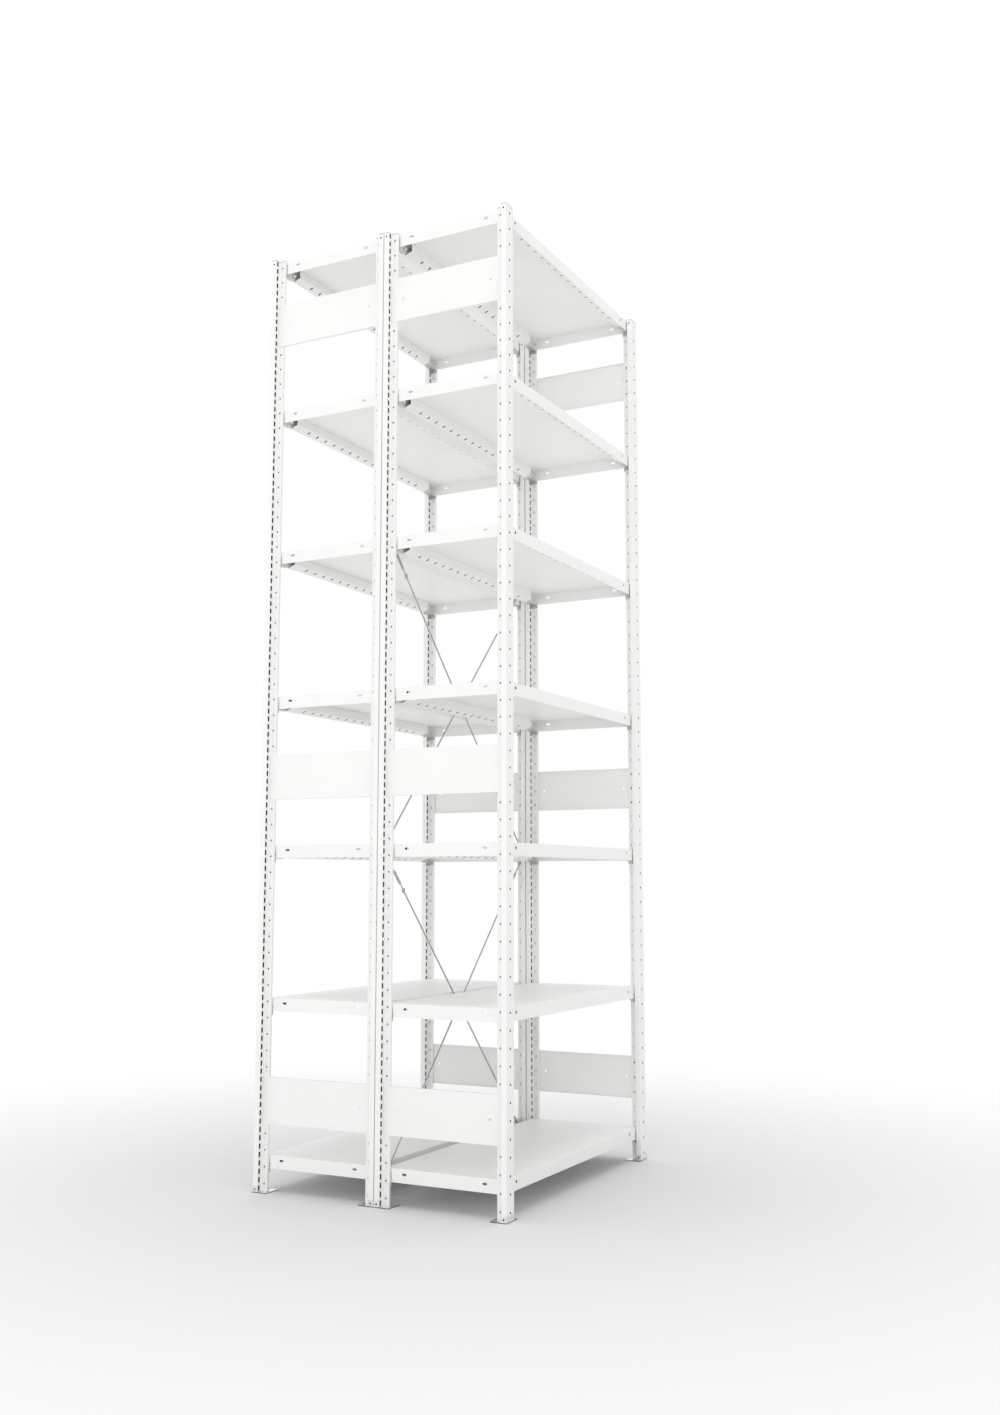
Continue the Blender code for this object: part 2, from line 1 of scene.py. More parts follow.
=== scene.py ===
"""Looks of the metal shelving unit: powder-coated posts, trays and panels on zinc fittings.

Two units stand back to back on slotted T posts. Each tray hangs on four folded corner
supports, flat panels tie the ends, and crossed rods with turnbuckles brace the middle.
"""
import logging
import math
from contextlib import contextmanager
from dataclasses import dataclass, field
from enum import Enum
from itertools import product
from typing import Callable, Iterator

import bmesh
import bpy
from mathutils import Matrix, Vector

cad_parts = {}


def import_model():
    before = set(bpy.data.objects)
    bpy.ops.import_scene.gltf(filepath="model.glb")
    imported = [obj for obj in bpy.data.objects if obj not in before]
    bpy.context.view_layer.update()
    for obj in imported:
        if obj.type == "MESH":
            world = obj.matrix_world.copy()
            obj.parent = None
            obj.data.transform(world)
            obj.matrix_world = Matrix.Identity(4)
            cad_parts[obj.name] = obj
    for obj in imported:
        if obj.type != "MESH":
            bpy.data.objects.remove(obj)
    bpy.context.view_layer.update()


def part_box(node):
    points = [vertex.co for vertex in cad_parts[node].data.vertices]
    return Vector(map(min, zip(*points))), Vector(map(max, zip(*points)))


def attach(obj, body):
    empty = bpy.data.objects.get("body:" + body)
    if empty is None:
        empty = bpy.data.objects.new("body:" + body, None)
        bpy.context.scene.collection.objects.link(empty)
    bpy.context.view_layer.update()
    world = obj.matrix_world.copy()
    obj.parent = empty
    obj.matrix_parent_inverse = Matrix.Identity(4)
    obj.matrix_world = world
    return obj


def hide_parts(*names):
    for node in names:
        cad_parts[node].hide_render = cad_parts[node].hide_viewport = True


LOG = logging.getLogger("shelving")
FRAME_BODY = "frame"
SIDES = (-1, 1)

# Tolerances, the reach of cutters past a wall, and the clearance between pieces, in metres
NEAR = 0.00002
DOUBLES = 0.000005
OVERRUN = 0.0006
PLAY = 0.0003

# Cosine from which a face counts as facing an axis, then angles between faces in degrees
FACING = 0.9
SMOOTH_UP_TO = 32
BREAK_FROM = 40

Piece = bpy.types.Object
Material = bpy.types.Material
Tree = bpy.types.NodeTree
Node = bpy.types.Node
Socket = bpy.types.NodeSocket
Point = tuple[float, float, float]
Colour = tuple[float, float, float]
Test = Callable[[Vector, Vector], bool]


class Unit(Enum):
    """The two shelving units that stand back to back."""

    FRONT = "front"
    REAR = "rear"


class Side(Enum):
    """A side of a unit, by the sign of its place on an axis."""

    @property
    def word(self) -> str:
        """Name of the side as the frame's nodes use it."""
        return self.name.lower()


class End(Side):
    """The two ends of a unit, by the sign of their X."""

    LEFT = -1
    RIGHT = 1


class Row(Side):
    """The two rows of posts in a unit, by the sign of the side that they face."""

    FRONT = -1
    BACK = 1


class Slot(Enum):
    """Material slots of the record."""

    POST = "post_paint"
    SHELF = "shelf_paint"
    PANEL = "panel_paint"
    FOOT = "zinc_foot"
    ROD = "rod_steel"


# Modelling steps

def alone(obj: Piece) -> Piece:
    """Select one object alone and make it active."""
    bpy.ops.object.select_all(action="DESELECT")
    obj.select_set(True)
    bpy.context.view_layer.objects.active = obj
    return obj


def discard(*used: Piece) -> None:
    """Remove models that have been copied."""
    for obj in used:
        bpy.data.objects.remove(obj)


@contextmanager
def editing(obj: Piece, kind: str = "FACE") -> Iterator[None]:
    """Open an object in edit mode with nothing selected, and close it afterwards.

    Args:
        obj: The object to edit.
        kind: What is picked: VERT, EDGE or FACE.
    """
    alone(obj)
    bpy.ops.object.mode_set(mode="EDIT")
    bpy.ops.mesh.select_mode(type=kind)
    bpy.ops.mesh.select_all(action="DESELECT")
    yield
    bpy.ops.object.mode_set(mode="OBJECT")


def pick_faces(obj: Piece, test: Test) -> None:
    """Select faces in edit mode.

    Args:
        obj: The object in edit mode.
        test: Says whether a face with a middle and a normal is wanted.
    """
    mesh = bmesh.from_edit_mesh(obj.data)
    bpy.ops.mesh.select_all(action="DESELECT")
    for face in mesh.faces:
        face.select_set(test(face.calc_center_median(), face.normal))
    bmesh.update_edit_mesh(obj.data)


def pick_edges(obj: Piece, test: Test, open_only: bool = False) -> None:
    """Select edges in edit mode.

    Args:
        obj: The object in edit mode.
        test: Says whether an edge between two points is wanted.
        open_only: Whether only edges on an open border count.
    """
    mesh = bmesh.from_edit_mesh(obj.data)
    bpy.ops.mesh.select_all(action="DESELECT")
    for edge in mesh.edges:
        wanted = edge.is_boundary or not open_only
        edge.select_set(wanted and test(edge.verts[0].co, edge.verts[1].co))
    bmesh.update_edit_mesh(obj.data)


def upright(a: Vector, b: Vector) -> bool:
    """Say whether an edge between two points climbs."""
    return abs(a.z - b.z) > NEAR


def grow_picked(step: Point) -> None:
    """Extrude what is selected in edit mode."""
    bpy.ops.mesh.extrude_region_move(TRANSFORM_OT_translate={"value": step})


def round_picked(radius: float, steps: int = 3) -> None:
    """Round the selected edges in edit mode, in a number of flat steps."""
    bpy.ops.mesh.bevel(offset=radius, segments=steps, affect="EDGES")


def slice_all(place: Point, normal: Point, drop_behind: bool = False) -> None:
    """Cut the whole mesh along a plane in edit mode."""
    bpy.ops.mesh.select_all(action="SELECT")
    bpy.ops.mesh.bisect(plane_co=place, plane_no=normal, clear_inner=drop_behind)


def drop_faces(obj: Piece, test: Test) -> None:
    """Delete the faces of an object that pass a test."""
    with editing(obj):
        pick_faces(obj, test)
        bpy.ops.mesh.delete(type="FACE")


def round_edges(obj: Piece, test: Test, radius: float, steps: int = 3) -> None:
    """Round the edges of an object that pass a test, in a number of flat steps."""
    with editing(obj, "EDGE"):
        pick_edges(obj, test)
        round_picked(radius, steps)


def apply_all(obj: Piece) -> Piece:
    """Apply every modifier of an object in order."""
    alone(obj)
    for modifier in list(obj.modifiers):
        bpy.ops.object.modifier_apply(modifier=modifier.name)
    return obj


def settle(obj: Piece) -> Piece:
    """Move an object's place, turn and size into its mesh."""
    alone(obj)
    bpy.ops.object.transform_apply(location=True, rotation=True, scale=True)
    return obj


def primitive(name: str, add: Callable[..., object], **sizes: object) -> Piece:
    """Add a primitive with nothing else selected.

    Args:
        name: Name of the object.
        add: The operator that adds it.
        sizes: What the operator is told.

    Returns:
        The new object.
    """
    bpy.ops.object.select_all(action="DESELECT")
    add(**sizes)
    bpy.context.object.name = name
    return bpy.context.object


def block(name: str, low: Point, high: Point) -> Piece:
    """Add a block.

    Args:
        name: Name of the block.
        low: Its corner with the least values.
        high: The corner across from it.

    Returns:
        The block, its place in its mesh.
    """
    middle = (Vector(low) + Vector(high)) / 2
    obj = primitive(name, bpy.ops.mesh.primitive_cube_add, size=1, location=middle)
    obj.scale = Vector(high) - Vector(low)
    return settle(obj)


def sheet_strip(name: str, low: Point, high: Point) -> Piece:
    """Add an upright flat strip that faces -Y.

    Args:
        name: Name of the strip.
        low: Its lower corner.
        high: The corner across from it, with the same Y.

    Returns:
        The strip, an open surface.
    """
    obj = block(name, low, (high[0], low[1] + 1, high[2]))
    drop_faces(obj, lambda middle, normal: normal.y > -FACING)
    return obj


def round_bar(name: str, centre: Point, axis: str, diameter: float, depth: float,
              length: float = 0, sides: int = 12) -> Piece:
    """Add a round bar, or an oblong one when it has a length across.

    Args:
        name: Name of the bar.
        centre: Where its middle lies.
        axis: X, Y or Z, along which the bar runs.
        diameter: Diameter of the bar.
        depth: Length along its axis.
        length: Length across: along Y for X and Z bars, along X for Y bars.
        sides: Number of faces round it, a multiple of four for an oblong one.

    Returns:
        The bar, its place in its mesh.
    """
    obj = primitive(name, bpy.ops.mesh.primitive_cylinder_add, vertices=sides, radius=diameter / 2,
                    depth=depth)
    obj.rotation_euler = (0, 0, math.pi / sides)
    settle(obj)
    for side in SIDES if length else ():
        with editing(obj, "VERT"):
            mesh = bmesh.from_edit_mesh(obj.data)
            for vert in mesh.verts:
                vert.select_set(vert.co.y * side > 0)
            bmesh.update_edit_mesh(obj.data)
            bpy.ops.transform.translate(value=(0, side * (length - diameter) / 2, 0))
    if axis == "Y":
        obj.rotation_euler = (0, 0, math.pi / 2)
        settle(obj)
    obj.rotation_euler = {"X": (0, math.pi / 2, 0), "Y": (math.pi / 2, 0, 0), "Z": (0, 0, 0)}[axis]
    obj.location = centre
    return settle(obj)


def joined(name: str, parts: list[Piece]) -> Piece:
    """Join parts into one object without changing their faces.

    Args:
        name: Name of the joined object.
        parts: What it is made of; the first one takes in the rest.

    Returns:
        The joined object.
    """
    alone(parts[0])
    for part in parts[1:]:
        part.select_set(True)
    if len(parts) > 1:
        bpy.ops.object.join()
    parts[0].name = name
    return parts[0]


def worked(obj: Piece, operation: str, tools: list[Piece]) -> Piece:
    """Cut tools from an object or fuse them to it, and remove them.

    Args:
        obj: The object to change.
        operation: DIFFERENCE or UNION.
        tools: Other shapes; those of one cut don't overlap.

    Returns:
        The changed object.
    """
    groups = [[tool] for tool in tools] if operation == "UNION" else [tools]
    for group in groups:
        tool = joined("tool", group)
        modifier = obj.modifiers.new("work", "BOOLEAN")
        modifier.operation = operation
        modifier.solver = "EXACT"
        modifier.object = tool
        apply_all(obj)
        discard(tool)
    return obj


def in_a_row(obj: Piece, count: int, step: Point, merge: bool = False) -> Piece:
    """Repeat a mesh at equal steps.

    Args:
        obj: The object to repeat.
        count: Number of copies, with the first one.
        step: Way from one copy to the next.
        merge: Whether copies grow together where they meet.

    Returns:
        The object with all its copies.
    """
    row = obj.modifiers.new("row", "ARRAY")
    row.count = count
    row.use_relative_offset = False
    row.use_constant_offset = True
    row.constant_offset_displace = step
    row.use_merge_vertices = merge
    row.merge_threshold = NEAR
    return apply_all(obj)


def thicken(obj: Piece, sheet: float, lined: bool = False) -> Piece:
    """Give a folded surface its sheet thickness behind its faces.

    Args:
        obj: The open surface.
        sheet: Thickness of the sheet.
        lined: Whether the inner skin takes the next material.

    Returns:
        The object with a wall.
    """
    wall = obj.modifiers.new("wall", "SOLIDIFY")
    wall.solidify_mode = "NON_MANIFOLD"
    wall.nonmanifold_thickness_mode = "CONSTRAINTS"
    wall.thickness = sheet
    wall.offset = -1
    wall.material_offset = 1 if lined else 0
    return apply_all(obj)


def soften(obj: Piece, width: float) -> Piece:
    """Break the sharp edges of a piece.

    Args:
        obj: The piece.
        width: Width that each edge loses on both of its sides.

    Returns:
        The piece with broken edges.
    """
    edge = obj.modifiers.new("edges", "BEVEL")
    edge.width = width
    edge.segments = 1
    edge.limit_method = "ANGLE"
    edge.angle_limit = math.radians(BREAK_FROM)
    return apply_all(obj)


def finish_mesh(obj: Piece) -> Piece:
    """Merge doubles, turn the faces outwards and shade flat walls flat and folds round.

    Args:
        obj: A piece or a model of it.

    Returns:
        The finished object.
    """
    with editing(obj):
        bpy.ops.mesh.select_all(action="SELECT")
        bpy.ops.mesh.remove_doubles(threshold=DOUBLES)
        bpy.ops.mesh.normals_make_consistent(inside=False)
    alone(obj)
    bpy.ops.object.shade_smooth_by_angle(angle=math.radians(SMOOTH_UP_TO))
    weighted = obj.modifiers.new("weighted", "WEIGHTED_NORMAL")
    weighted.keep_sharp = True
    return apply_all(obj)


def clad(obj: Piece, *materials: Material) -> Piece:
    """Give a piece its materials in place of any that it has."""
    obj.data.materials.clear()
    for material in materials:
        obj.data.materials.append(material)
    return obj


def dress_faces(obj: Piece, test: Test, index: int = 1) -> None:
    """Give some faces of a piece another one of its materials.

    Args:
        obj: The piece.
        test: Says whether a face with a middle and a normal takes the material.
        index: Number of the material among those of the piece.
    """
    for polygon in obj.data.polygons:
        if test(polygon.center, polygon.normal):
            polygon.material_index = index


def placed_copy(model: Piece, name: str, place: Matrix) -> Piece:
    """Copy a model and settle the copy at its place.

    Args:
        model: What is copied.
        name: Name of the copy and of its mesh.
        place: Where the model's origin goes, with its turn or mirroring.

    Returns:
        The copy, with a mesh of its own.
    """
    copy = model.copy()
    copy.data = model.data.copy()
    copy.name = copy.data.name = name
    bpy.context.scene.collection.objects.link(copy)
    copy.matrix_world = place
    return settle(copy)


# Places in the frame

def post_place(unit: Unit, end: End, row: Row) -> Matrix:
    """Give the middle of a post's outer face, on the floor."""
    low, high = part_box(f"{unit.value}_unit_post_{end.word}_{row.word}")
    return Matrix.Translation(((low.x + high.x) / 2, low.y if row is Row.FRONT else high.y, 0))


def deck_place(node: str) -> Matrix:
    """Give the middle of a shelf's deck top."""
    low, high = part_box(node)
    return Matrix.Translation(((low.x + high.x) / 2, (low.y + high.y) / 2, high.z))


def mirrored(end: End, row: Row) -> Matrix:
    """Give the mirroring that takes the left front corner to another one."""
    return Matrix.Diagonal((-end.value, -row.value, 1, 1))


def stand_in(piece: Piece, node: str, slot: Slot, body: str = FRAME_BODY) -> None:
    """Let a piece show in place of a node.

    Args:
        piece: The finished piece.
        node: Node of the frame that it replaces.
        slot: Material slot that it would take; not used.
        body: Body that it rides on.
    """
    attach(piece, body)
    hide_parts(node)
    LOG.info("%s: %d faces, for %s", piece.name, len(piece.data.polygons), node)


# Finishes

def fill(node: Node, values: dict[str, object]) -> None:
    """Set inputs of a shader node by their names."""
    for name, value in values.items():
        node.inputs[name].default_value = value


def added(tree: Tree, kind: str, values: dict[str, object] | None = None) -> Node:
    """Add a shader node of a kind, with values for its inputs."""
    node = tree.nodes.new(f"ShaderNode{kind}")
    fill(node, values or {})
    return node


@dataclass(frozen=True)
class Finish:
    """What every finish has in common: a name, the shader's plain values and ways to vary them."""

    name: str
    colour: Colour
    roughness: float
    metallic: float

    def make(self) -> Material:
        """Build the material: its plain values and what work() adds to them."""
        material = bpy.data.materials.new(self.name)
        material.use_nodes = True
        shader = material.node_tree.nodes["Principled BSDF"]
        fill(shader, {"Base Color": (*self.colour, 1), "Roughness": self.roughness,
                      "Metallic": self.metallic})
        self.work(material.node_tree, shader)
        return material

    def work(self, tree: Tree, shader: Node) -> None:
        """Add the patterns of the finish; a plain finish has none."""

    @staticmethod
    def noise(tree: Tree, scale: float, detail: float, stretch: Point = (1, 1, 1)) -> Socket:
        """Add noise on object coordinates.

        Args:
            tree: The material's nodes.
            scale: Fineness of the noise.
            detail: Number of finer layers in it.
            stretch: Scale along each axis; a small one draws the noise out.

        Returns:
            The value of the noise.
        """
        place = added(tree, "TexCoord")
        mapping = added(tree, "Mapping", {"Scale": stretch})
        noise = added(tree, "TexNoise", {"Scale": scale, "Detail": detail})
        tree.links.new(place.outputs["Object"], mapping.inputs["Vector"])
        tree.links.new(mapping.outputs["Vector"], noise.inputs["Vector"])
        return noise.outputs["Fac"]

    @staticmethod
    def spread(tree: Tree, source: Socket, low: float, high: float) -> Socket:
        """Map the middle range of a pattern, where it mostly lies, to values from low to high."""
        ramp = added(tree, "MapRange", {"From Min": 0.3, "From Max": 0.7, "To Min": low, "To Max": high})
        tree.links.new(source, ramp.inputs["Value"])
        return ramp.outputs["Result"]

    def tint(self, tree: Tree, shader: Node, source: Socket, other: Colour, most: float = 1) -> None:
        """Blend the colour with another one along a pattern.

        Args:
            tree: The material's nodes.
            shader: The material's shader.
            source: The pattern.
            other: The other colour.
            most: Share of the other colour where the pattern is strongest.
        """
        blend = added(tree, "Mix")
        blend.data_type = "RGBA"
        fill(blend, {"A": (*self.colour, 1), "B": (*other, 1)})
        tree.links.new(self.spread(tree, source, 0, most), blend.inputs["Factor"])
        tree.links.new(blend.outputs["Result"], shader.inputs["Base Color"])

    def gloss(self, tree: Tree, shader: Node, source: Socket, under: float, over: float) -> None:
        """Vary the roughness along a pattern, from under to over its plain value."""
        level = self.spread(tree, source, self.roughness - under, self.roughness + over)
        tree.links.new(level, shader.inputs["Roughness"])

    @staticmethod
    def relief(tree: Tree, shader: Node, source: Socket, strength: float, depth: float) -> None:
        """Press a pattern into the surface's normals.

        Args:
            tree: The material's nodes.
            shader: The material's shader.
            source: The pattern.
            strength: Share of the effect.
            depth: Height between the pattern's low and high places.
        """
        bump = added(tree, "Bump", {"Strength": strength, "Distance": depth})
        tree.links.new(source, bump.inputs["Height"])
        tree.links.new(bump.outputs["Normal"], shader.inputs["Normal"])


@dataclass(frozen=True)
class PowderCoat(Finish):
    """Pale grey powder coat: fine orange peel, faint clouding of colour and gloss."""

    clouded: Colour = (0.905, 0.905, 0.89)
    peel_scale: float = 420
    cloud_scale: float = 7

    def work(self, tree: Tree, shader: Node) -> None:
        """Cloud the colour and the gloss, and press the orange peel into the coat."""
        self.tint(tree, shader, self.noise(tree, self.cloud_scale, detail=4), self.clouded)
        cloud = self.noise(tree, self.cloud_scale * 3, detail=3)
        self.gloss(tree, shader, cloud, under=0.05, over=0.06)
        peel = self.noise(tree, self.peel_scale, detail=2)
        self.relief(tree, shader, peel, strength=0.12, depth=0.0002)


@dataclass(frozen=True)
class Zinc(Finish):
    """Zinc plating: small spangles, streaks of dull oxide and fine rolling lines."""

    dull: Colour = (0.50, 0.50, 0.48)
    spangle_scale: float = 260
    cloud_scale: float = 60
    line_scale: float = 900

    def work(self, tree: Tree, shader: Node) -> None:
        """Lay the spangles, cloud the gloss and roll the lines."""
        place = added(tree, "TexCoord")
        spangle = added(tree, "TexVoronoi", {"Scale": self.spangle_scale})
        grey = added(tree, "SeparateColor")
        tree.links.new(place.outputs["Object"], spangle.inputs["Vector"])
        tree.links.new(spangle.outputs["Color"], grey.inputs["Color"])
        self.tint(tree, shader, grey.outputs["Red"], self.dull, most=0.7)
        self.gloss(tree, shader, self.noise(tree, self.cloud_scale, detail=4), under=0.08, over=0.12)
        lines = self.noise(tree, self.line_scale, detail=2, stretch=(1, 1, 0.08))
        self.relief(tree, shader, lines, strength=0.08, depth=0.0001)


@dataclass(frozen=True)
class RodSteel(Finish):
    """Bright drawn steel with lengthwise scratches and dull patches."""

    dull: Colour = (0.36, 0.37, 0.36)
    patch_scale: float = 45
    scratch_scale: float = 700

    def work(self, tree: Tree, shader: Node) -> None:
        """Lay the dull patches and scratch the gloss and the surface."""
        self.tint(tree, shader, self.noise(tree, self.patch_scale, detail=5), self.dull, most=0.8)
        scratch = self.noise(tree, self.scratch_scale, detail=3, stretch=(0.2, 1, 0.2))
        self.gloss(tree, shader, scratch, under=0.07, over=0.12)
        self.relief(tree, shader, scratch, strength=0.1, depth=0.0001)


@dataclass(frozen=True)
class RawSheet(Finish):
    """Dusty matt surface: near black for painted shade inside hollows and on cut rims and edges, or grey
    plastic.
    """

    dust_gain: float = 1.6
    dust_scale: float = 80

    def work(self, tree: Tree, shader: Node) -> None:
        """Lay the dust."""
        dusty = tuple(value * self.dust_gain for value in self.colour)
        self.tint(tree, shader, self.noise(tree, self.dust_scale, detail=4), dusty, most=0.6)


def kept(finish: Finish) -> Material:
    return field(default_factory=finish.make)


@dataclass(frozen=True)
class Finishes:
    """Every material of the object, made once."""

    paint: Material = kept(PowderCoat("powder_coat", (0.925, 0.925, 0.91), 0.42, 0))
    zinc: Material = kept(Zinc("zinc_plate", (0.66, 0.65, 0.62), 0.40, 0.85))
    bright_zinc: Material = kept(Zinc("bright_zinc_plate", (0.90, 0.90, 0.89), 0.30, 0.85,
                                      dull=(0.76, 0.76, 0.75)))
    rod: Material = kept(RodSteel("rod_steel_bright", (0.55, 0.56, 0.55), 0.36, 0.9))
    # Near black: painted shade inside the post heads and the closed tray lips, and on the rims of cut slots
    # and holes.
    inside: Material = kept(RawSheet("raw_inside", (0.05, 0.05, 0.05), 0.75, 0))
    # Near black: painted shade on the plate edges at the floor and on the support ends against the post
    # wings.
    cut_edge: Material = kept(RawSheet("cut_sheet_edge", (0.10, 0.10, 0.10), 0.6, 0))
    plastic: Material = kept(RawSheet("grey_plastic", (0.42, 0.42, 0.41), 0.55, 0, dust_gain=1.15))

    def dark_edged(self, tools: list[Piece]) -> list[Piece]:
        """Let cutters leave rims painted near black as shade, which take the piece's second material."""
        for tool in tools:
            clad(tool, self.paint, self.inside)
            dress_faces(tool, lambda middle, normal: True)
        return tools


# Posts

@dataclass
class Posts:
    """Eight hollow T posts with slots in the wings and holes in the head and the stem."""

    finishes: Finishes
    head_width: float = 0.048
    head_depth: float = 0.018
    stem_width: float = 0.009
    stem_reach: float = 0.022
    sheet: float = 0.0015
    bend: float = 0.002
    pitch: float = 0.050
    modules: int = 60
    bottom: float = 0.0028
    slot_offset: float = 0.0165
    slot_height: float = 0.016
    slot_width: float = 0.0075
    hole: float = 0.0072
    stem_hole: float = 0.0064
    side_hole: float = 0.006
    side_hole_heights: tuple[float, float] = (0.010, 2.986)
    rod_hole: float = 0.0064
    rod_depths: tuple[float, float] = (0.0048, 0.0103)
    rod_lows: tuple[float, float] = (0.057, 1.057)
    rod_rise: float = 0.985
    cap: float = 0.0025

    def tee(self, low: float, high: float) -> Piece:
        """Raise the T section as a solid.

        Args:
            low: Height of its lower end.
            high: Height of its upper end.

        Returns:
            The solid, its outer face on Y = 0.
        """
        half, stem = self.head_width / 2, self.stem_width / 2
        tee = block("tee", (-half, 0, low), (half, self.head_depth, high))
        with editing(tee):
            for side in (-stem, stem):
                slice_all((side, 0, 0), (1, 0, 0))
            pick_faces(tee, lambda middle, normal: normal.y > FACING and abs(middle.x) < stem)
            grow_picked((0, self.stem_reach, 0))
        return tee

    def shell(self) -> Piece:
        """Fold one pitch of the post: its T section as a wall, the inside of its head painted near black as
        shade.
        """
        half, stem, tip = self.head_width / 2, self.stem_width / 2, self.head_depth + self.stem_reach
        post = self.tee(0, self.pitch)
        drop_faces(post, lambda middle, normal: abs(normal.z) > FACING)
        bends = ((half, None, self.bend, 3),
                 (stem, tip, self.sheet, 3),
                 (stem, self.head_depth, self.sheet * 0.6, 2))
        for across, depth, radius, steps in bends:
            round_edges(post, lambda a, b: upright(a, b) and abs(abs(a.x) - across) < NEAR
                        and (depth is None or abs(a.y - depth) < NEAR), radius, steps)
        # The inner skin takes the near black material, painted shade inside the hollow head; the stem's
        # inside keeps the paint.
        clad(post, self.finishes.paint, self.finishes.inside)
        thicken(post, self.sheet, lined=True)
        dress_faces(post, lambda middle, normal: abs(middle.x) < stem and middle.y > self.head_depth, 0)
        return post

    def perforation(self) -> list[Piece]:
        """Make the cutters of one pitch: four slots and three holes."""
        wall = self.head_depth - self.sheet
        half_width, half_height = self.slot_width / 2, self.slot_height / 2
        cutters = []
        for side, share in product(SIDES, (1 / 4, 3 / 4)):
            x, z = side * self.slot_offset, self.pitch * share
            slot = block("slot", (x - half_width, wall - OVERRUN, z - half_height),
                         (x + half_width, self.head_depth + OVERRUN, z + half_height))
            round_edges(slot, lambda a, b: abs(a.y - b.y) > NEAR, self.slot_width / 5, 1)
            cutters.append(slot)
        cutters.append(round_bar("face_hole", (0, self.sheet / 2, self.pitch / 2), "Y", self.hole,
                                 self.sheet + 2 * OVERRUN))
        # Slot and face-hole rims are painted dark as shade; the stem hole keeps the paint.
        self.finishes.dark_edged(cutters)
        stem_middle = (0, self.head_depth + self.stem_reach / 2, self.pitch / 2)
        cutters.append(round_bar("stem_hole", stem_middle, "X", self.stem_hole,
                                 self.stem_width + 2 * OVERRUN))
        return cutters

    def whole(self) -> Piece:
        """Repeat the pitch up the post, cut its foot level and close the ends of its wall."""
        post = worked(self.shell(), "DIFFERENCE", self.perforation())
        drop_faces(post, lambda middle, normal: abs(normal.z) > FACING
                   and not NEAR < middle.z < self.pitch - NEAR)
        in_a_row(post, self.modules, (0, 0, self.pitch), merge=True)
        top = self.pitch * self.modules - self.cap
        with editing(post, "EDGE"):
            slice_all((0, 0, self.bottom), (0, 0, 1), drop_behind=True)
            slice_all((0, 0, top), (0, 0, -1), drop_behind=True)
            for height in (self.bottom, top):
                pick_edges(post, lambda a, b: max(abs(a.z - height), abs(b.z - height)) < NEAR,
                           open_only=True)
                bpy.ops.mesh.bridge_edge_loops()
        return worked(post, "DIFFERENCE", [
            round_bar("side_hole", (0, self.head_depth / 2, height), "X", self.side_hole,
                      self.head_width + 2 * OVERRUN) for height in self.side_hole_heights])

    def rod_drilled(self, plain: Piece, inner: int) -> Piece:
        """Drill the rod holes of a rear unit's front post in the wall towards the bay.

        Args:
            plain: The perforated post.
            inner: Sign of X on which its bay lies.

        Returns:
            A drilled copy.
        """
        wall = inner * (self.head_width - self.sheet) / 2
        depths = self.rod_depths if inner > 0 else self.rod_depths[::-1]
        holes = [round_bar("rod_hole", (wall, depth, low + rise), "X", self.rod_hole,
                           self.sheet + 2 * OVERRUN)
                 for low in self.rod_lows for depth, rise in zip(depths, (0, self.rod_rise))]
        return worked(placed_copy(plain, "drilled_post", Matrix.Identity(4)), "DIFFERENCE", holes)

    def lid(self) -> Piece:
        """Model the flat plastic cap that closes the top of a post."""
        top = self.pitch * self.modules
        lid = soften(self.tee(top - self.cap, top), self.cap / 5)
        return finish_mesh(clad(lid, self.finishes.plastic))

    def build(self) -> None:
        """Model a post and its cap, and stand eight copies where the frame has them."""
        plain, lid = self.whole(), self.lid()
        drilled = {end: self.rod_drilled(plain, -end.value) for end in End}
        for model in (plain, *drilled.values()):
            finish_mesh(model)
        for unit, end, row in product(Unit, End, Row):
            node = f"{unit.value}_unit_post_{end.word}_{row.word}"
            turn = Matrix.Rotation(0 if row is Row.FRONT else math.pi, 4, "Z")
            place = post_place(unit, end, row) @ turn
            holds_rods = unit is Unit.REAR and row is Row.FRONT
            piece = placed_copy(drilled[end] if holds_rods else plain, f"{node}_folded", place)
            stand_in(piece, node, Slot.POST)
            stand_in(placed_copy(lid, f"{node}_cap", place), node, Slot.POST)
        discard(plain, lid, *drilled.values())


# Shelves

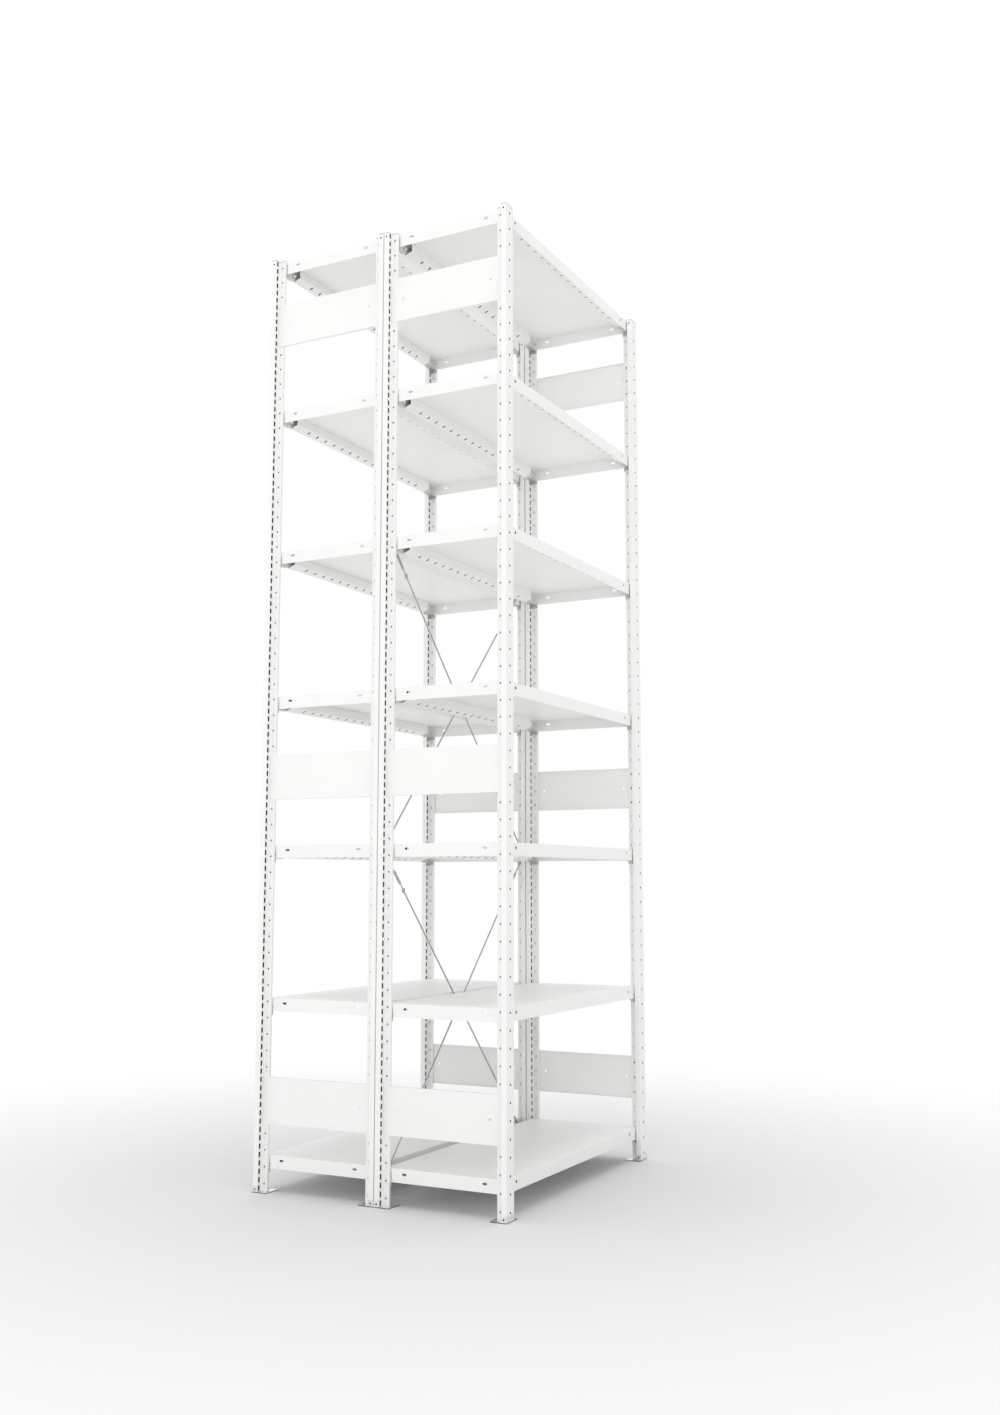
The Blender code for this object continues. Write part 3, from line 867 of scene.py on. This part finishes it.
@dataclass
class Trays:
    """Fourteen folded trays with slotted lips along their long sides."""

    finishes: Finishes
    length: float = 0.990
    depth: float = 0.397
    height: float = 0.040
    sheet: float = 0.001
    fold: float = 0.0015
    lip_reach: float = 0.027
    lip_rise: float = 0.011
    lip_end: float = 0.4307
    lip_slots: int = 15
    lip_pitch: float = 0.050
    lip_slot: tuple[float, float] = (0.013, 0.0065)
    lip_slot_inward: float = 0.0158
    hole_drop: float = 0.0155
    end_slot: tuple[float, float] = (0.015, 0.007)
    end_slot_spread: float = 0.2668
    end_hole: float = 0.006
    end_hole_margin: float = 0.0185
    side_hole: float = 0.0088
    side_hole_margin: float = 0.070
    # Length at each lip end that keeps the paint colour before the painted shade inside the lips begins.
    powder_reach: float = 0.035
    dimple: tuple[float, float] = (0.040, 0.020)
    dimple_depth: float = 0.0005

    def folded(self) -> Piece:
        """Fold the sheet: deck, four flanges, two slanting lips and their webs up to the deck."""
        half_length, half_depth = self.length / 2, self.depth / 2

        def lip_root(a: Vector, b: Vector) -> bool:
            """Say whether an edge is on the lower border of a long flange, where a lip starts."""
            border = max(a.z, b.z) < NEAR - self.height and min(abs(a.y), abs(b.y)) > half_depth - NEAR
            return border and max(abs(a.x), abs(b.x)) < self.lip_end + NEAR

        tray = block("tray", (-half_length, -half_depth, -self.height), (half_length, half_depth, 0))
        drop_faces(tray, lambda middle, normal: normal.z < -FACING)
        with editing(tray, "EDGE"):
            pick_edges(tray, lambda a, b: max(a.z, b.z) > -NEAR)
            round_picked(self.fold)
            for end in SIDES:
                slice_all((end * self.lip_end, 0, 0), (1, 0, 0))
                slice_all((end * (self.lip_end - self.powder_reach), 0, 0), (1, 0, 0))
            for side in SIDES:
                pick_edges(tray, lambda a, b: lip_root(a, b) and a.y * side > 0)
                grow_picked((0, -side * self.lip_reach, self.lip_rise))
                grow_picked((0, 0, self.height - self.lip_rise - self.sheet - PLAY))
            pick_edges(tray, lip_root)
            round_picked(self.fold * 0.6, 2)
        clad(tray, self.finishes.paint, self.finishes.inside)
        thicken(tray, self.sheet)
        self.line_lips(tray)
        return tray

    def line_lips(self, tray: Piece) -> None:
        """Paint the inside of the two closed lips near black as shade, but for their ends, which keep the
        paint colour.

        Args:
            tray: The folded tray with its two materials.
        """
        # Faces inside the lips, away from their ends, take the near black material as painted shade.
        def shaded(middle: Vector, normal: Vector) -> bool:
            """Say whether a face looks into a closed lip, away from its ends and the deck."""
            heart = math.copysign((self.depth - self.lip_reach) / 2, middle.y)
            facing = (heart - middle.y) * normal.y + (-self.height / 2 - middle.z) * normal.z
            boxed = abs(middle.y) > self.depth / 2 - self.lip_reach - 2 * self.sheet
            kept_pale = abs(middle.x) > self.lip_end - self.powder_reach or middle.z > -2 * self.sheet
            return boxed and facing > self.sheet and not kept_pale

        dress_faces(tray, shaded)

    def lip_cutters(self) -> list[Piece]:
        """Make the two rows of oblong slots, square to the slope of the lips."""
        slope = math.atan2(self.lip_rise, self.lip_reach)
        length, width = self.lip_slot
        rows = []
        for side in SIDES:
            slot = round_bar("lip_slot", (0, 0, 0), "Z", width, 6 * self.sheet, length, 8)
            slot.rotation_euler = (-side * slope, 0, 0)
            slot.location = (-self.lip_pitch * (self.lip_slots - 1) / 2,
                             side * (self.depth / 2 - self.lip_slot_inward),
                             self.lip_slot_inward * math.tan(slope) - self.height)
            rows.append(in_a_row(settle(slot), self.lip_slots, (self.lip_pitch, 0, 0)))
        return self.finishes.dark_edged(rows)

    def flange_cutters(self) -> list[Piece]:
        """Make the slots and holes of the flanges."""
        through = self.sheet + 2 * OVERRUN
        slot_length, slot_width = self.end_slot
        cutters = []
        for x, y in product(SIDES, SIDES):
            wall = x * (self.length - self.sheet) / 2
            slot_place = (wall, y * self.end_slot_spread / 2, -self.hole_drop)
            hole_place = (wall, y * (self.depth / 2 - self.end_hole_margin), -self.hole_drop)
            side_place = (x * (self.length / 2 - self.side_hole_margin), y * (self.depth - self.sheet) / 2,
                          -self.hole_drop)
            cutters.append(round_bar("end_slot", slot_place, "X", slot_width, through, slot_length))
            cutters.append(round_bar("end_hole", hole_place, "X", self.end_hole, through))
            cutters.append(round_bar("side_hole", side_place, "Y", self.side_hole, through))
        return self.finishes.dark_edged(cutters)

    def dimple_press(self, side: int) -> Piece:
        """Make the flat dome that presses a shallow dimple into a long flange.

        Args:
            side: Sign of the flange's Y.

        Returns:
            The cutter.
        """
        dome = primitive("dimple", bpy.ops.mesh.primitive_uv_sphere_add, segments=24, ring_count=13,
                         radius=1)
        bulge = 3 * self.dimple_depth
        share = math.sqrt(1 - (1 - self.dimple_depth / bulge) ** 2)
        dome.scale = (self.dimple[0] / 2 / share, bulge, self.dimple[1] / 2 / share)
        dome.location = (0, side * (self.depth / 2 + bulge - self.dimple_depth), -self.height / 2)
        return settle(dome)

    def build(self) -> None:
        """Model a tray and place its copies, their deck tops where the frame has them."""
        presses = [self.dimple_press(side) for side in SIDES]
        tray = worked(self.folded(), "DIFFERENCE", self.lip_cutters() + self.flange_cutters() + presses)
        finish_mesh(tray)
        for unit, number in product(Unit, range(1, 8)):
            node = f"{unit.value}_unit_shelf_{number}"
            stand_in(placed_copy(tray, f"{node}_tray", deck_place(node)), node, Slot.SHELF)
        discard(tray)


@dataclass
class Supports:
    """Fifty-six folded corner supports that hook into the posts and carry the trays."""

    finishes: Finishes
    tray: Trays
    post: Posts
    sheet: float = 0.0015
    edge: float = 0.0002
    ledge_length: float = 0.048
    ledge_depth: float = 0.018
    ledge_corner: float = 0.006
    skirt: float = 0.012
    hook_height: float = 0.008
    hook_reach: float = 0.003
    head_room: float = 0.001
    post_pitch: float = 1.0032
    lower_drop: float = 0.0225
    top_drop: float = 0.010

    def model(self, deck_over_hook: float) -> Piece:
        """Fold the support of the left front corner, measured from the deck's middle.

        Args:
            deck_over_hook: Height of the deck over the middle of the post slot.

        Returns:
            The support: two upright legs, the ledge under the tray and the hook.
        """
        tray = self.tray
        left = -tray.length / 2 - PLAY - self.sheet
        front = -tray.depth / 2 - PLAY - self.sheet
        wing = (self.post.head_width - self.post_pitch) / 2
        seat = PLAY - self.post.slot_height / 2 - deck_over_hook
        legs = sheet_strip("support", (left, front, -tray.height - self.skirt),
                           (wing, front, seat + self.hook_height + self.head_room))
        with editing(legs, "EDGE"):
            pick_edges(legs, lambda a, b: max(a.x, b.x) < left + NEAR)
            grow_picked((0, self.post.stem_reach + self.sheet, 0))
            pick_edges(legs, lambda a, b: upright(a, b) and max(a.x, b.x) < left + NEAR
                       and max(a.y, b.y) < front + NEAR)
            round_picked(self.sheet * 1.2)
        thicken(legs, self.sheet)
        inner = self.sheet / 2
        ledge = block("ledge", (left + inner, front + inner, -tray.height - self.sheet),
                      (self.ledge_length - tray.length / 2, self.ledge_depth - tray.depth / 2,
                       -tray.height))
        round_edges(ledge, lambda a, b: upright(a, b) and max(a.x, b.x) > wing
                    and max(a.y, b.y) > front + self.ledge_corner, self.ledge_corner)
        worked(legs, "UNION", [ledge, self.hook(front, seat)])
        clad(legs, self.finishes.zinc, self.finishes.cut_edge)
        # Faces against the post wing take the near black material: painted shade in the gap at the post.
        dress_faces(legs, lambda middle, normal: normal.x > FACING and abs(middle.x - wing) < NEAR)
        return soften(legs, self.edge)

    def hook(self, front: float, seat: float) -> Piece:
        """Extrude the hook: through the slot and down behind the post's wall.

        Args:
            front: Y of the support's outer face.
            seat: Height at which the hook rests in the slot.

        Returns:
            The hook as a closed block.
        """
        middle = self.post.slot_offset - self.post_pitch / 2
        half = self.post.slot_width / 2 - PLAY
        wall = front - self.post.sheet - 2 * PLAY
        hook = block("hook", (middle - half, wall - self.sheet, seat),
                     (middle + half, front + self.sheet / 2, seat + self.hook_height))
        with editing(hook):
            slice_all((0, wall, 0), (0, 1, 0))
            pick_faces(hook, lambda place, normal: normal.z < -FACING and place.y < wall)
            grow_picked((0, 0, -self.hook_reach))
        return hook

    def build(self) -> None:
        """Fold the two kinds of support and place four under each tray."""
        for numbers, drop in ((range(1, 7), self.lower_drop), (range(7, 8), self.top_drop)):
            model = self.model(drop)
            corners = {corner: finish_mesh(placed_copy(model, "corner", mirrored(*corner)))
                       for corner in product(End, Row)}
            for unit, number in product(Unit, numbers):
                node = f"{unit.value}_unit_shelf_{number}"
                for (end, row), corner in corners.items():
                    name = f"{node}_support_{end.word}_{row.word}"
                    stand_in(placed_copy(corner, name, deck_place(node)), node, Slot.FOOT)
            discard(model, *corners.values())


# End panels and feet

@dataclass
class Panels:
    """Twelve flat end panels with folded edges, two small holes and hooked tabs."""

    finishes: Finishes
    height: float = 0.142
    sheet: float = 0.0012
    fold: float = 0.010
    width: float = 0.397
    fold_width: float = 0.353
    bend: float = 0.0015
    hole: float = 0.008
    hole_spread: float = 0.312
    tab_spread: float = 0.3792
    tab_rise: float = 0.050
    tab_width: float = 0.005
    tab_reach: float = 0.0033

    def model(self) -> Piece:
        """Fold a panel whose outer face looks to -Y, its middle at the origin."""
        half, fold_half, rise = self.width / 2, self.fold_width / 2, self.height / 2

        def fold_root(a: Vector, b: Vector) -> bool:
            """Say whether an edge is level and as far in as the folds."""
            return not upright(a, b) and max(abs(a.x), abs(b.x)) < fold_half + NEAR

        panel = sheet_strip("panel", (-half, 0, -rise), (half, 0, rise))
        with editing(panel, "EDGE"):
            for place in (-fold_half, fold_half):
                slice_all((place, 0, 0), (1, 0, 0))
            pick_edges(panel, fold_root)
            grow_picked((0, self.fold, 0))
            pick_edges(panel, lambda a, b: fold_root(a, b) and max(a.y, b.y) < NEAR)
            round_picked(self.bend, 2)
        clad(panel, self.finishes.paint)
        thicken(panel, self.sheet)
        wall, half_tab = self.sheet / 2, self.tab_width / 2
        worked(panel, "DIFFERENCE", [
            round_bar("panel_hole", (side * self.hole_spread / 2, wall, 0), "Y", self.hole,
                      self.sheet + 2 * OVERRUN, sides=16) for side in SIDES])
        tabs = [block("tab", (middle - half_tab, wall, self.tab_rise - wall),
                      (middle + half_tab, self.tab_reach + wall, self.tab_rise + wall))
                for middle in (-self.tab_spread / 2, self.tab_spread / 2)]
        return finish_mesh(worked(panel, "UNION", tabs))

    def build(self) -> None:
        """Place the twelve panels over the stems of the posts."""
        model = self.model()
        for unit, end, level in product(Unit, End, ("low", "mid", "top")):
            node = f"{unit.value}_unit_end_panel_{end.word}_{level}"
            low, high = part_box(node)
            outer = low.x if end is End.LEFT else high.x
            turn = Matrix.Rotation(end.value * math.pi / 2, 4, "Z")
            place = Matrix.Translation((outer, (low.y + high.y) / 2, (low.z + high.z) / 2)) @ turn
            stand_in(placed_copy(model, f"{node}_folded", place), node, Slot.PANEL)
        discard(model)


@dataclass
class Feet:
    """Eight zinc base plates with a sleeve round the post."""

    finishes: Finishes
    post: Posts
    plate: float = 0.0025
    edge: float = 0.0003
    sleeve_height: float = 0.017
    sleeve_sheet: float = 0.001
    sleeve_sink: float = 0.0001
    sleeve_hole_height: float = 0.010
    outer_margin: float = 0.0025
    inner_margin: float = 0.015
    tip_margin: float = 0.012
    hole: float = 0.006
    slot_length: float = 0.016
    corner: float = 0.003

    def model(self) -> Piece:
        """Make a foot whose bay lies on +X, in its post's own place."""
        half, depth = self.post.head_width / 2, self.post.head_depth
        tip = depth + self.post.stem_reach
        front, back = -PLAY - self.sleeve_sheet, tip + self.tip_margin
        foot = block("foot", (-half - self.outer_margin, front, 0),
                     (half + self.inner_margin, back, self.plate))
        round_edges(foot, lambda a, b: upright(a, b) and max(a.y, b.y) > front + NEAR, self.corner, 4)
        outside = half + PLAY + self.sleeve_sheet
        sleeve = sheet_strip("sleeve", (-outside, front, self.plate - self.sleeve_sink),
                             (outside, front, self.plate + self.sleeve_height))
        with editing(sleeve, "EDGE"):
            pick_edges(sleeve, upright)
            grow_picked((0, depth - front, 0))
            pick_edges(sleeve, lambda a, b: upright(a, b) and max(a.y, b.y) < front + NEAR)
            round_picked(self.sleeve_sheet * 1.6)
        worked(foot, "UNION", [thicken(sleeve, self.sleeve_sheet)])
        wall, through = self.plate / 2, self.plate + 2 * OVERRUN
        slot_x = half + (self.inner_margin + self.sleeve_sheet) / 2
        worked(foot, "DIFFERENCE", [
            round_bar("tip_hole", (0, (tip + back) / 2, wall), "Z", self.hole, through, sides=16),
            round_bar("edge_slot", (slot_x, depth, wall), "Z", self.hole, through, self.slot_length, 16),
            round_bar("sleeve_holes", (0, depth / 2, self.sleeve_hole_height), "X", self.hole, 3 * outside,
                      sides=16)])
        clad(foot, self.finishes.bright_zinc, self.finishes.cut_edge)
        # Upright edges of the plate take the near black material: painted shade along the floor contact.
        dress_faces(foot, lambda middle, normal: abs(normal.z) < FACING and middle.z < self.plate)
        return soften(foot, self.edge)

    def build(self) -> None:
        """Place the eight feet, mirrored where their bay lies on the other side."""
        model = self.model()
        for unit, end, row in product(Unit, End, Row):
            node = f"{unit.value}_unit_foot_{end.word}_{row.word}"
            place = post_place(unit, end, row) @ mirrored(end, row)
            stand_in(finish_mesh(placed_copy(model, f"{node}_plate", place)), node, Slot.FOOT)
        discard(model)


# Cross bracing

@dataclass
class Braces:
    """Four braces: a long rod hooked into an eye bolt, a turnbuckle and a short hooked rod."""

    finishes: Finishes
    post: Posts
    diameter: float = 0.005
    bend: float = 0.006
    bend_steps: int = 5
    sides: int = 16
    corner_x: float = 0.4706
    depths: dict[str, float] = field(default_factory=lambda: {"rising": 0.00625, "falling": 0.01175})
    setback: float = 0.119
    sleeve: tuple[float, float] = (0.046, 0.0095)
    sleeve_edge: float = 0.0008
    bore: float = 0.0062
    sight_hole: float = 0.003
    hook_behind: float = 0.0148
    hook_rise: float = 0.009
    nut: tuple[float, float] = (0.005, 0.009)
    nut_edge: float = 0.0004
    mid_gap: float = 0.012
    eye_middle: float = 0.171
    eye_radius: float = 0.0055
    eye_steps: int = 32
    shank: float = 0.0038
    thread_pitch: float = 0.0008
    groove_share: float = 0.84
    groove_reach: float = 0.1

    def line(self) -> tuple[Vector, Vector, Vector]:
        """Give the low and high corners and the direction of a rising rod."""
        low, high = Vector((-self.corner_x, 0, 0)), Vector((self.corner_x, 0, self.post.rod_rise))
        return low, high, (high - low).normalized()

    def laid(self, piece: Piece, middle: Vector) -> Piece:
        """Lay a piece that was made along Z on the line of a rising rod.

        Args:
            piece: The piece, its middle at the origin.
            middle: Where its middle goes.

        Returns:
            The settled piece.
        """
        way = self.line()[2]
        piece.matrix_world = Matrix.Translation(middle) @ Matrix.Rotation(math.atan2(way.x, way.z), 4, "Y")
        return settle(piece)

    def bar(self, name: str, points: list[Vector]) -> Piece:
        """Draw a rod along points that lie in the XZ plane, with an arc at each corner.

        Args:
            name: Name of the rod.
            points: Its ends and corners.

        Returns:
            The rod as a closed mesh.
        """
        heading = (points[1] - points[0]).normalized()
        bar = primitive(name, bpy.ops.mesh.primitive_circle_add, vertices=self.sides,
                        radius=self.diameter / 2, fill_type="NGON")
        turn = heading.to_track_quat("Z", "Y").to_matrix().to_4x4()
        bar.matrix_world = Matrix.Translation(points[0]) @ turn
        settle(bar)
        start = Vector(points[0])
        with editing(bar):
            bpy.ops.mesh.select_all(action="SELECT")
            for corner, after in zip(points[1:-1], points[2:]):
                ahead = (after - corner).normalized()
                angle = heading.angle(ahead)
                run = self.bend * math.tan(angle / 2)
                begin = corner - heading * run
                grow_picked(tuple(begin - start))
                axis = heading.cross(ahead).normalized()
                centre = begin + axis.cross(heading) * self.bend
                bpy.ops.mesh.spin(steps=self.bend_steps, angle=angle, center=centre, axis=-axis)
                start = corner + ahead * run
                heading = ahead
            grow_picked(tuple(points[-1] - start))
        return bar

    def hook_ends(self, corner: Vector, outward: int) -> list[Vector]:
        """Points of a rod's end: through the post's wall and up or down behind it."""
        turn = corner + Vector((outward * self.hook_behind, 0, 0))
        return [turn, turn + Vector((0, 0, outward * self.hook_rise))]

    def long_rod(self) -> Piece:
        """Model the long rod, the eye that it hooks into and the eye's threaded shank."""
        low, high, way = self.line()
        turn, tip = self.hook_ends(low, -1)
        eye = high - way * self.eye_middle
        rod = self.bar("long_rod", [tip, turn, low, eye - way * self.eye_radius])
        ring = primitive("ring", bpy.ops.mesh.primitive_torus_add, major_radius=self.eye_radius,
                         minor_radius=self.diameter / 2, major_segments=self.eye_steps,
                         minor_segments=self.sides)
        ring.matrix_world = Matrix.Translation(eye) @ Matrix.Rotation(math.pi / 2, 4, "X")
        shank = self.threaded(eye + way * self.eye_radius, high - way * (self.setback + self.mid_gap / 2))
        return worked(rod, "UNION", [settle(ring), shank])

    def threaded(self, start: Vector, end: Vector) -> Piece:
        """Model a threaded shank as rings of grooves.

        Args:
            start: One end of the shank.
            end: The other end.

        Returns:
            The shank as a closed mesh.
        """
        length = (end - start).length
        turns = round(length / self.thread_pitch)

        def groove(a: Vector, b: Vector) -> bool:
            """Say whether an edge lies on a ring near the middle of a turn."""
            turn = (a.z / length + 0.5) * turns
            return not upright(a, b) and abs(turn % 1 - 0.5) < self.groove_reach

        shank = round_bar("shank", (0, 0, 0), "Z", self.shank, length, sides=self.sides)
        with editing(shank, "EDGE"):
            pick_edges(shank, upright)
            bpy.ops.mesh.subdivide(number_cuts=turns * 2 - 1)
            pick_edges(shank, groove)
            bpy.ops.transform.resize(value=(self.groove_share, self.groove_share, 1),
                                     center_override=(0, 0, 0))
        return self.laid(shank, (start + end) / 2)

    def hook_rod(self) -> Piece:
        """Model the short rod that hooks into the post, with its lock nut."""
        high, way = self.line()[1:]
        rod = self.bar("hook_rod", [high - way * (self.setback - self.mid_gap / 2), high,
                                    *self.hook_ends(high, 1)])
        height, width = self.nut
        nut = round_bar("nut", (0, 0, 0), "Z", width, height, sides=6)
        self.laid(nut, high - way * (self.setback - self.sleeve[0] / 2 - PLAY - height / 2))
        return worked(rod, "UNION", [soften(nut, self.nut_edge)])

    def turnbuckle(self) -> Piece:
        """Model the turnbuckle: a hexagon sleeve with broken edges, a bore and a sight hole."""
        length, width = self.sleeve
        body = soften(round_bar("turnbuckle", (0, 0, 0), "Z", width, length, sides=6), self.sleeve_edge)
        for tool in (round_bar("bore", (0, 0, 0), "Z", self.bore, length + 2 * OVERRUN, sides=16),
                     round_bar("sight_hole", (0, 0, 0), "Y", self.sight_hole, width * 2)):
            worked(body, "DIFFERENCE", [tool])
        high, way = self.line()[1:]
        return self.laid(body, high - way * self.setback)

    def build(self) -> None:
        """Place the pieces of the four braces, the turnbuckles on bodies of their own."""
        models = {"long_rod": self.long_rod(), "hook_rod": self.hook_rod(), "turnbuckle": self.turnbuckle()}
        for model in models.values():
            clad(model, self.finishes.rod)
        for (pair, low), (lean, depth) in product(zip(("lower", "upper"), self.post.rod_lows),
                                                  self.depths.items()):
            turn = Matrix.Rotation(math.pi if lean == "falling" else 0, 4, "Z")
            place = Matrix.Translation((0, depth, low)) @ turn
            for kind, model in models.items():
                node = f"brace_{pair}_{lean}_{kind}"
                piece = finish_mesh(placed_copy(model, f"{node}_bar", place))
                body = f"{node}_body" if kind == "turnbuckle" else FRAME_BODY
                stand_in(piece, node, Slot.ROD, body)
        discard(*models.values())


# Studio

@dataclass
class Studio:
    """Plain pale floor, white surroundings, soft light and the photo's viewpoint."""

    floor_size: float = 60
    floor_colour: Colour = (0.775, 0.775, 0.775)
    floor_roughness: float = 0.9
    floor_gloss: float = 0.2
    # Distances over which the floor turns from lit paint into the painted white glow.
    whitening: tuple[float, float] = (0.6, 3.1)
    ambient: float = 0.82
    lamp_size: float = 8.0
    lamp_aim: Point = (0, 0, 1.5)
    lamps: dict[str, tuple[Point, float]] = field(default_factory=lambda: {
        "side": ((-14.0, -4.0, 4.5), 160.0), "low": ((-14.0, -3.0, 1.0), 270.0),
        "overhead": ((0.0, 0.0, 12.0), 370.0)})
    eye: Point = (-4.1146, -2.2896, 0.9431)
    pitch_up: float = 7.1325
    yaw: float = 27.5393
    lens: float = 35.5836
    sensor: float = 36

    def camera(self) -> None:
        """Set up the camera at the photo's viewpoint."""
        data = bpy.data.cameras.new("view")
        data.sensor_width = self.sensor
        data.lens = self.lens
        camera = bpy.data.objects.new("view", data)
        camera.location = self.eye
        camera.rotation_euler = (math.radians(90 + self.pitch_up), 0, math.radians(self.yaw - 90))
        bpy.context.scene.collection.objects.link(camera)
        bpy.context.scene.camera = camera

    @staticmethod
    def seen_plainly(tree: Tree) -> Socket:
        """Give 1 for camera, glossy and transmission rays, and 0 for the rest.

        Args:
            tree: Nodes of the surroundings.

        Returns:
            The value.
        """
        path = added(tree, "LightPath")
        total = path.outputs["Is Camera Ray"]
        for name in ("Is Glossy Ray", "Is Transmission Ray"):
            either = added(tree, "Math")
            either.operation = "MAXIMUM"
            tree.links.new(total, either.inputs[0])
            tree.links.new(path.outputs[name], either.inputs[1])
            total = either.outputs["Value"]
        return total

    def surroundings(self) -> None:
        """White to the eye, and even light of a lower strength on the object."""
        world = bpy.data.worlds.new("surroundings")
        bpy.context.scene.world = world
        world.use_nodes = True
        tree = world.node_tree
        background = tree.nodes["Background"]
        fill(background, {"Color": (1, 1, 1, 1)})
        level = added(tree, "MapRange", {"To Min": self.ambient, "To Max": 1})
        tree.links.new(self.seen_plainly(tree), level.inputs["Value"])
        tree.links.new(level.outputs["Result"], background.inputs["Strength"])

    def floor(self) -> None:
        """A pale floor that keeps the real shadow near the shelving and blends with distance into a painted
        white glow, which also lights the shelving from below.
        """
        floor = primitive("floor", bpy.ops.mesh.primitive_plane_add, size=self.floor_size)
        material = bpy.data.materials.new("floor")
        material.use_nodes = True
        tree = material.node_tree
        shader = tree.nodes["Principled BSDF"]
        fill(shader, {"Base Color": (*self.floor_colour, 1), "Roughness": self.floor_roughness,
                      "Specular IOR Level": self.floor_gloss})
        white = added(tree, "Emission", {"Color": (1, 1, 1, 1)})
        place = added(tree, "TexCoord")
        far = added(tree, "VectorMath")
        far.operation = "LENGTH"
        share = added(tree, "MapRange")
        share.interpolation_type = "SMOOTHSTEP"
        fill(share, dict(zip(("From Min", "From Max"), self.whitening)))
        mix = added(tree, "MixShader")
        tree.links.new(place.outputs["Object"], far.inputs[0])
        tree.links.new(far.outputs["Value"], share.inputs["Value"])
        tree.links.new(share.outputs["Result"], mix.inputs["Fac"])
        tree.links.new(shader.outputs["BSDF"], mix.inputs[1])
        tree.links.new(white.outputs["Emission"], mix.inputs[2])
        tree.links.new(mix.outputs["Shader"], tree.nodes["Material Output"].inputs["Surface"])
        clad(floor, material)

    def lamp(self, name: str, place: Point, power: float) -> None:
        """Hang a large square lamp that points at the middle of the shelving.

        Args:
            name: Name of the lamp.
            place: Where it hangs.
            power: Its power in watts.
        """
        data = bpy.data.lights.new(name, "AREA")
        data.shape = "SQUARE"
        data.size = self.lamp_size
        data.energy = power
        lamp = bpy.data.objects.new(name, data)
        lamp.location = place
        aim = Vector(self.lamp_aim) - Vector(place)
        lamp.rotation_euler = aim.to_track_quat("-Z", "Y").to_euler()
        bpy.context.scene.collection.objects.link(lamp)

    def build(self) -> None:
        """Set up the camera, the surroundings, the floor and the lamps."""
        bpy.context.scene.view_settings.view_transform = "Standard"
        self.camera()
        self.surroundings()
        self.floor()
        for name, (place, power) in self.lamps.items():
            self.lamp(name, place, power)


def main() -> None:
    """Load the frame, dress every piece of the shelving and set up the studio."""
    logging.basicConfig(level=logging.INFO, format="%(name)s: %(message)s")
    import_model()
    Studio().build()
    finishes = Finishes()
    posts, trays = Posts(finishes), Trays(finishes)
    for assembly in (posts, trays, Supports(finishes, trays, posts), Panels(finishes),
                     Feet(finishes, posts), Braces(finishes, posts)):
        assembly.build()
        LOG.info("%s done", type(assembly).__name__)


if __name__ == "__main__":
    main()
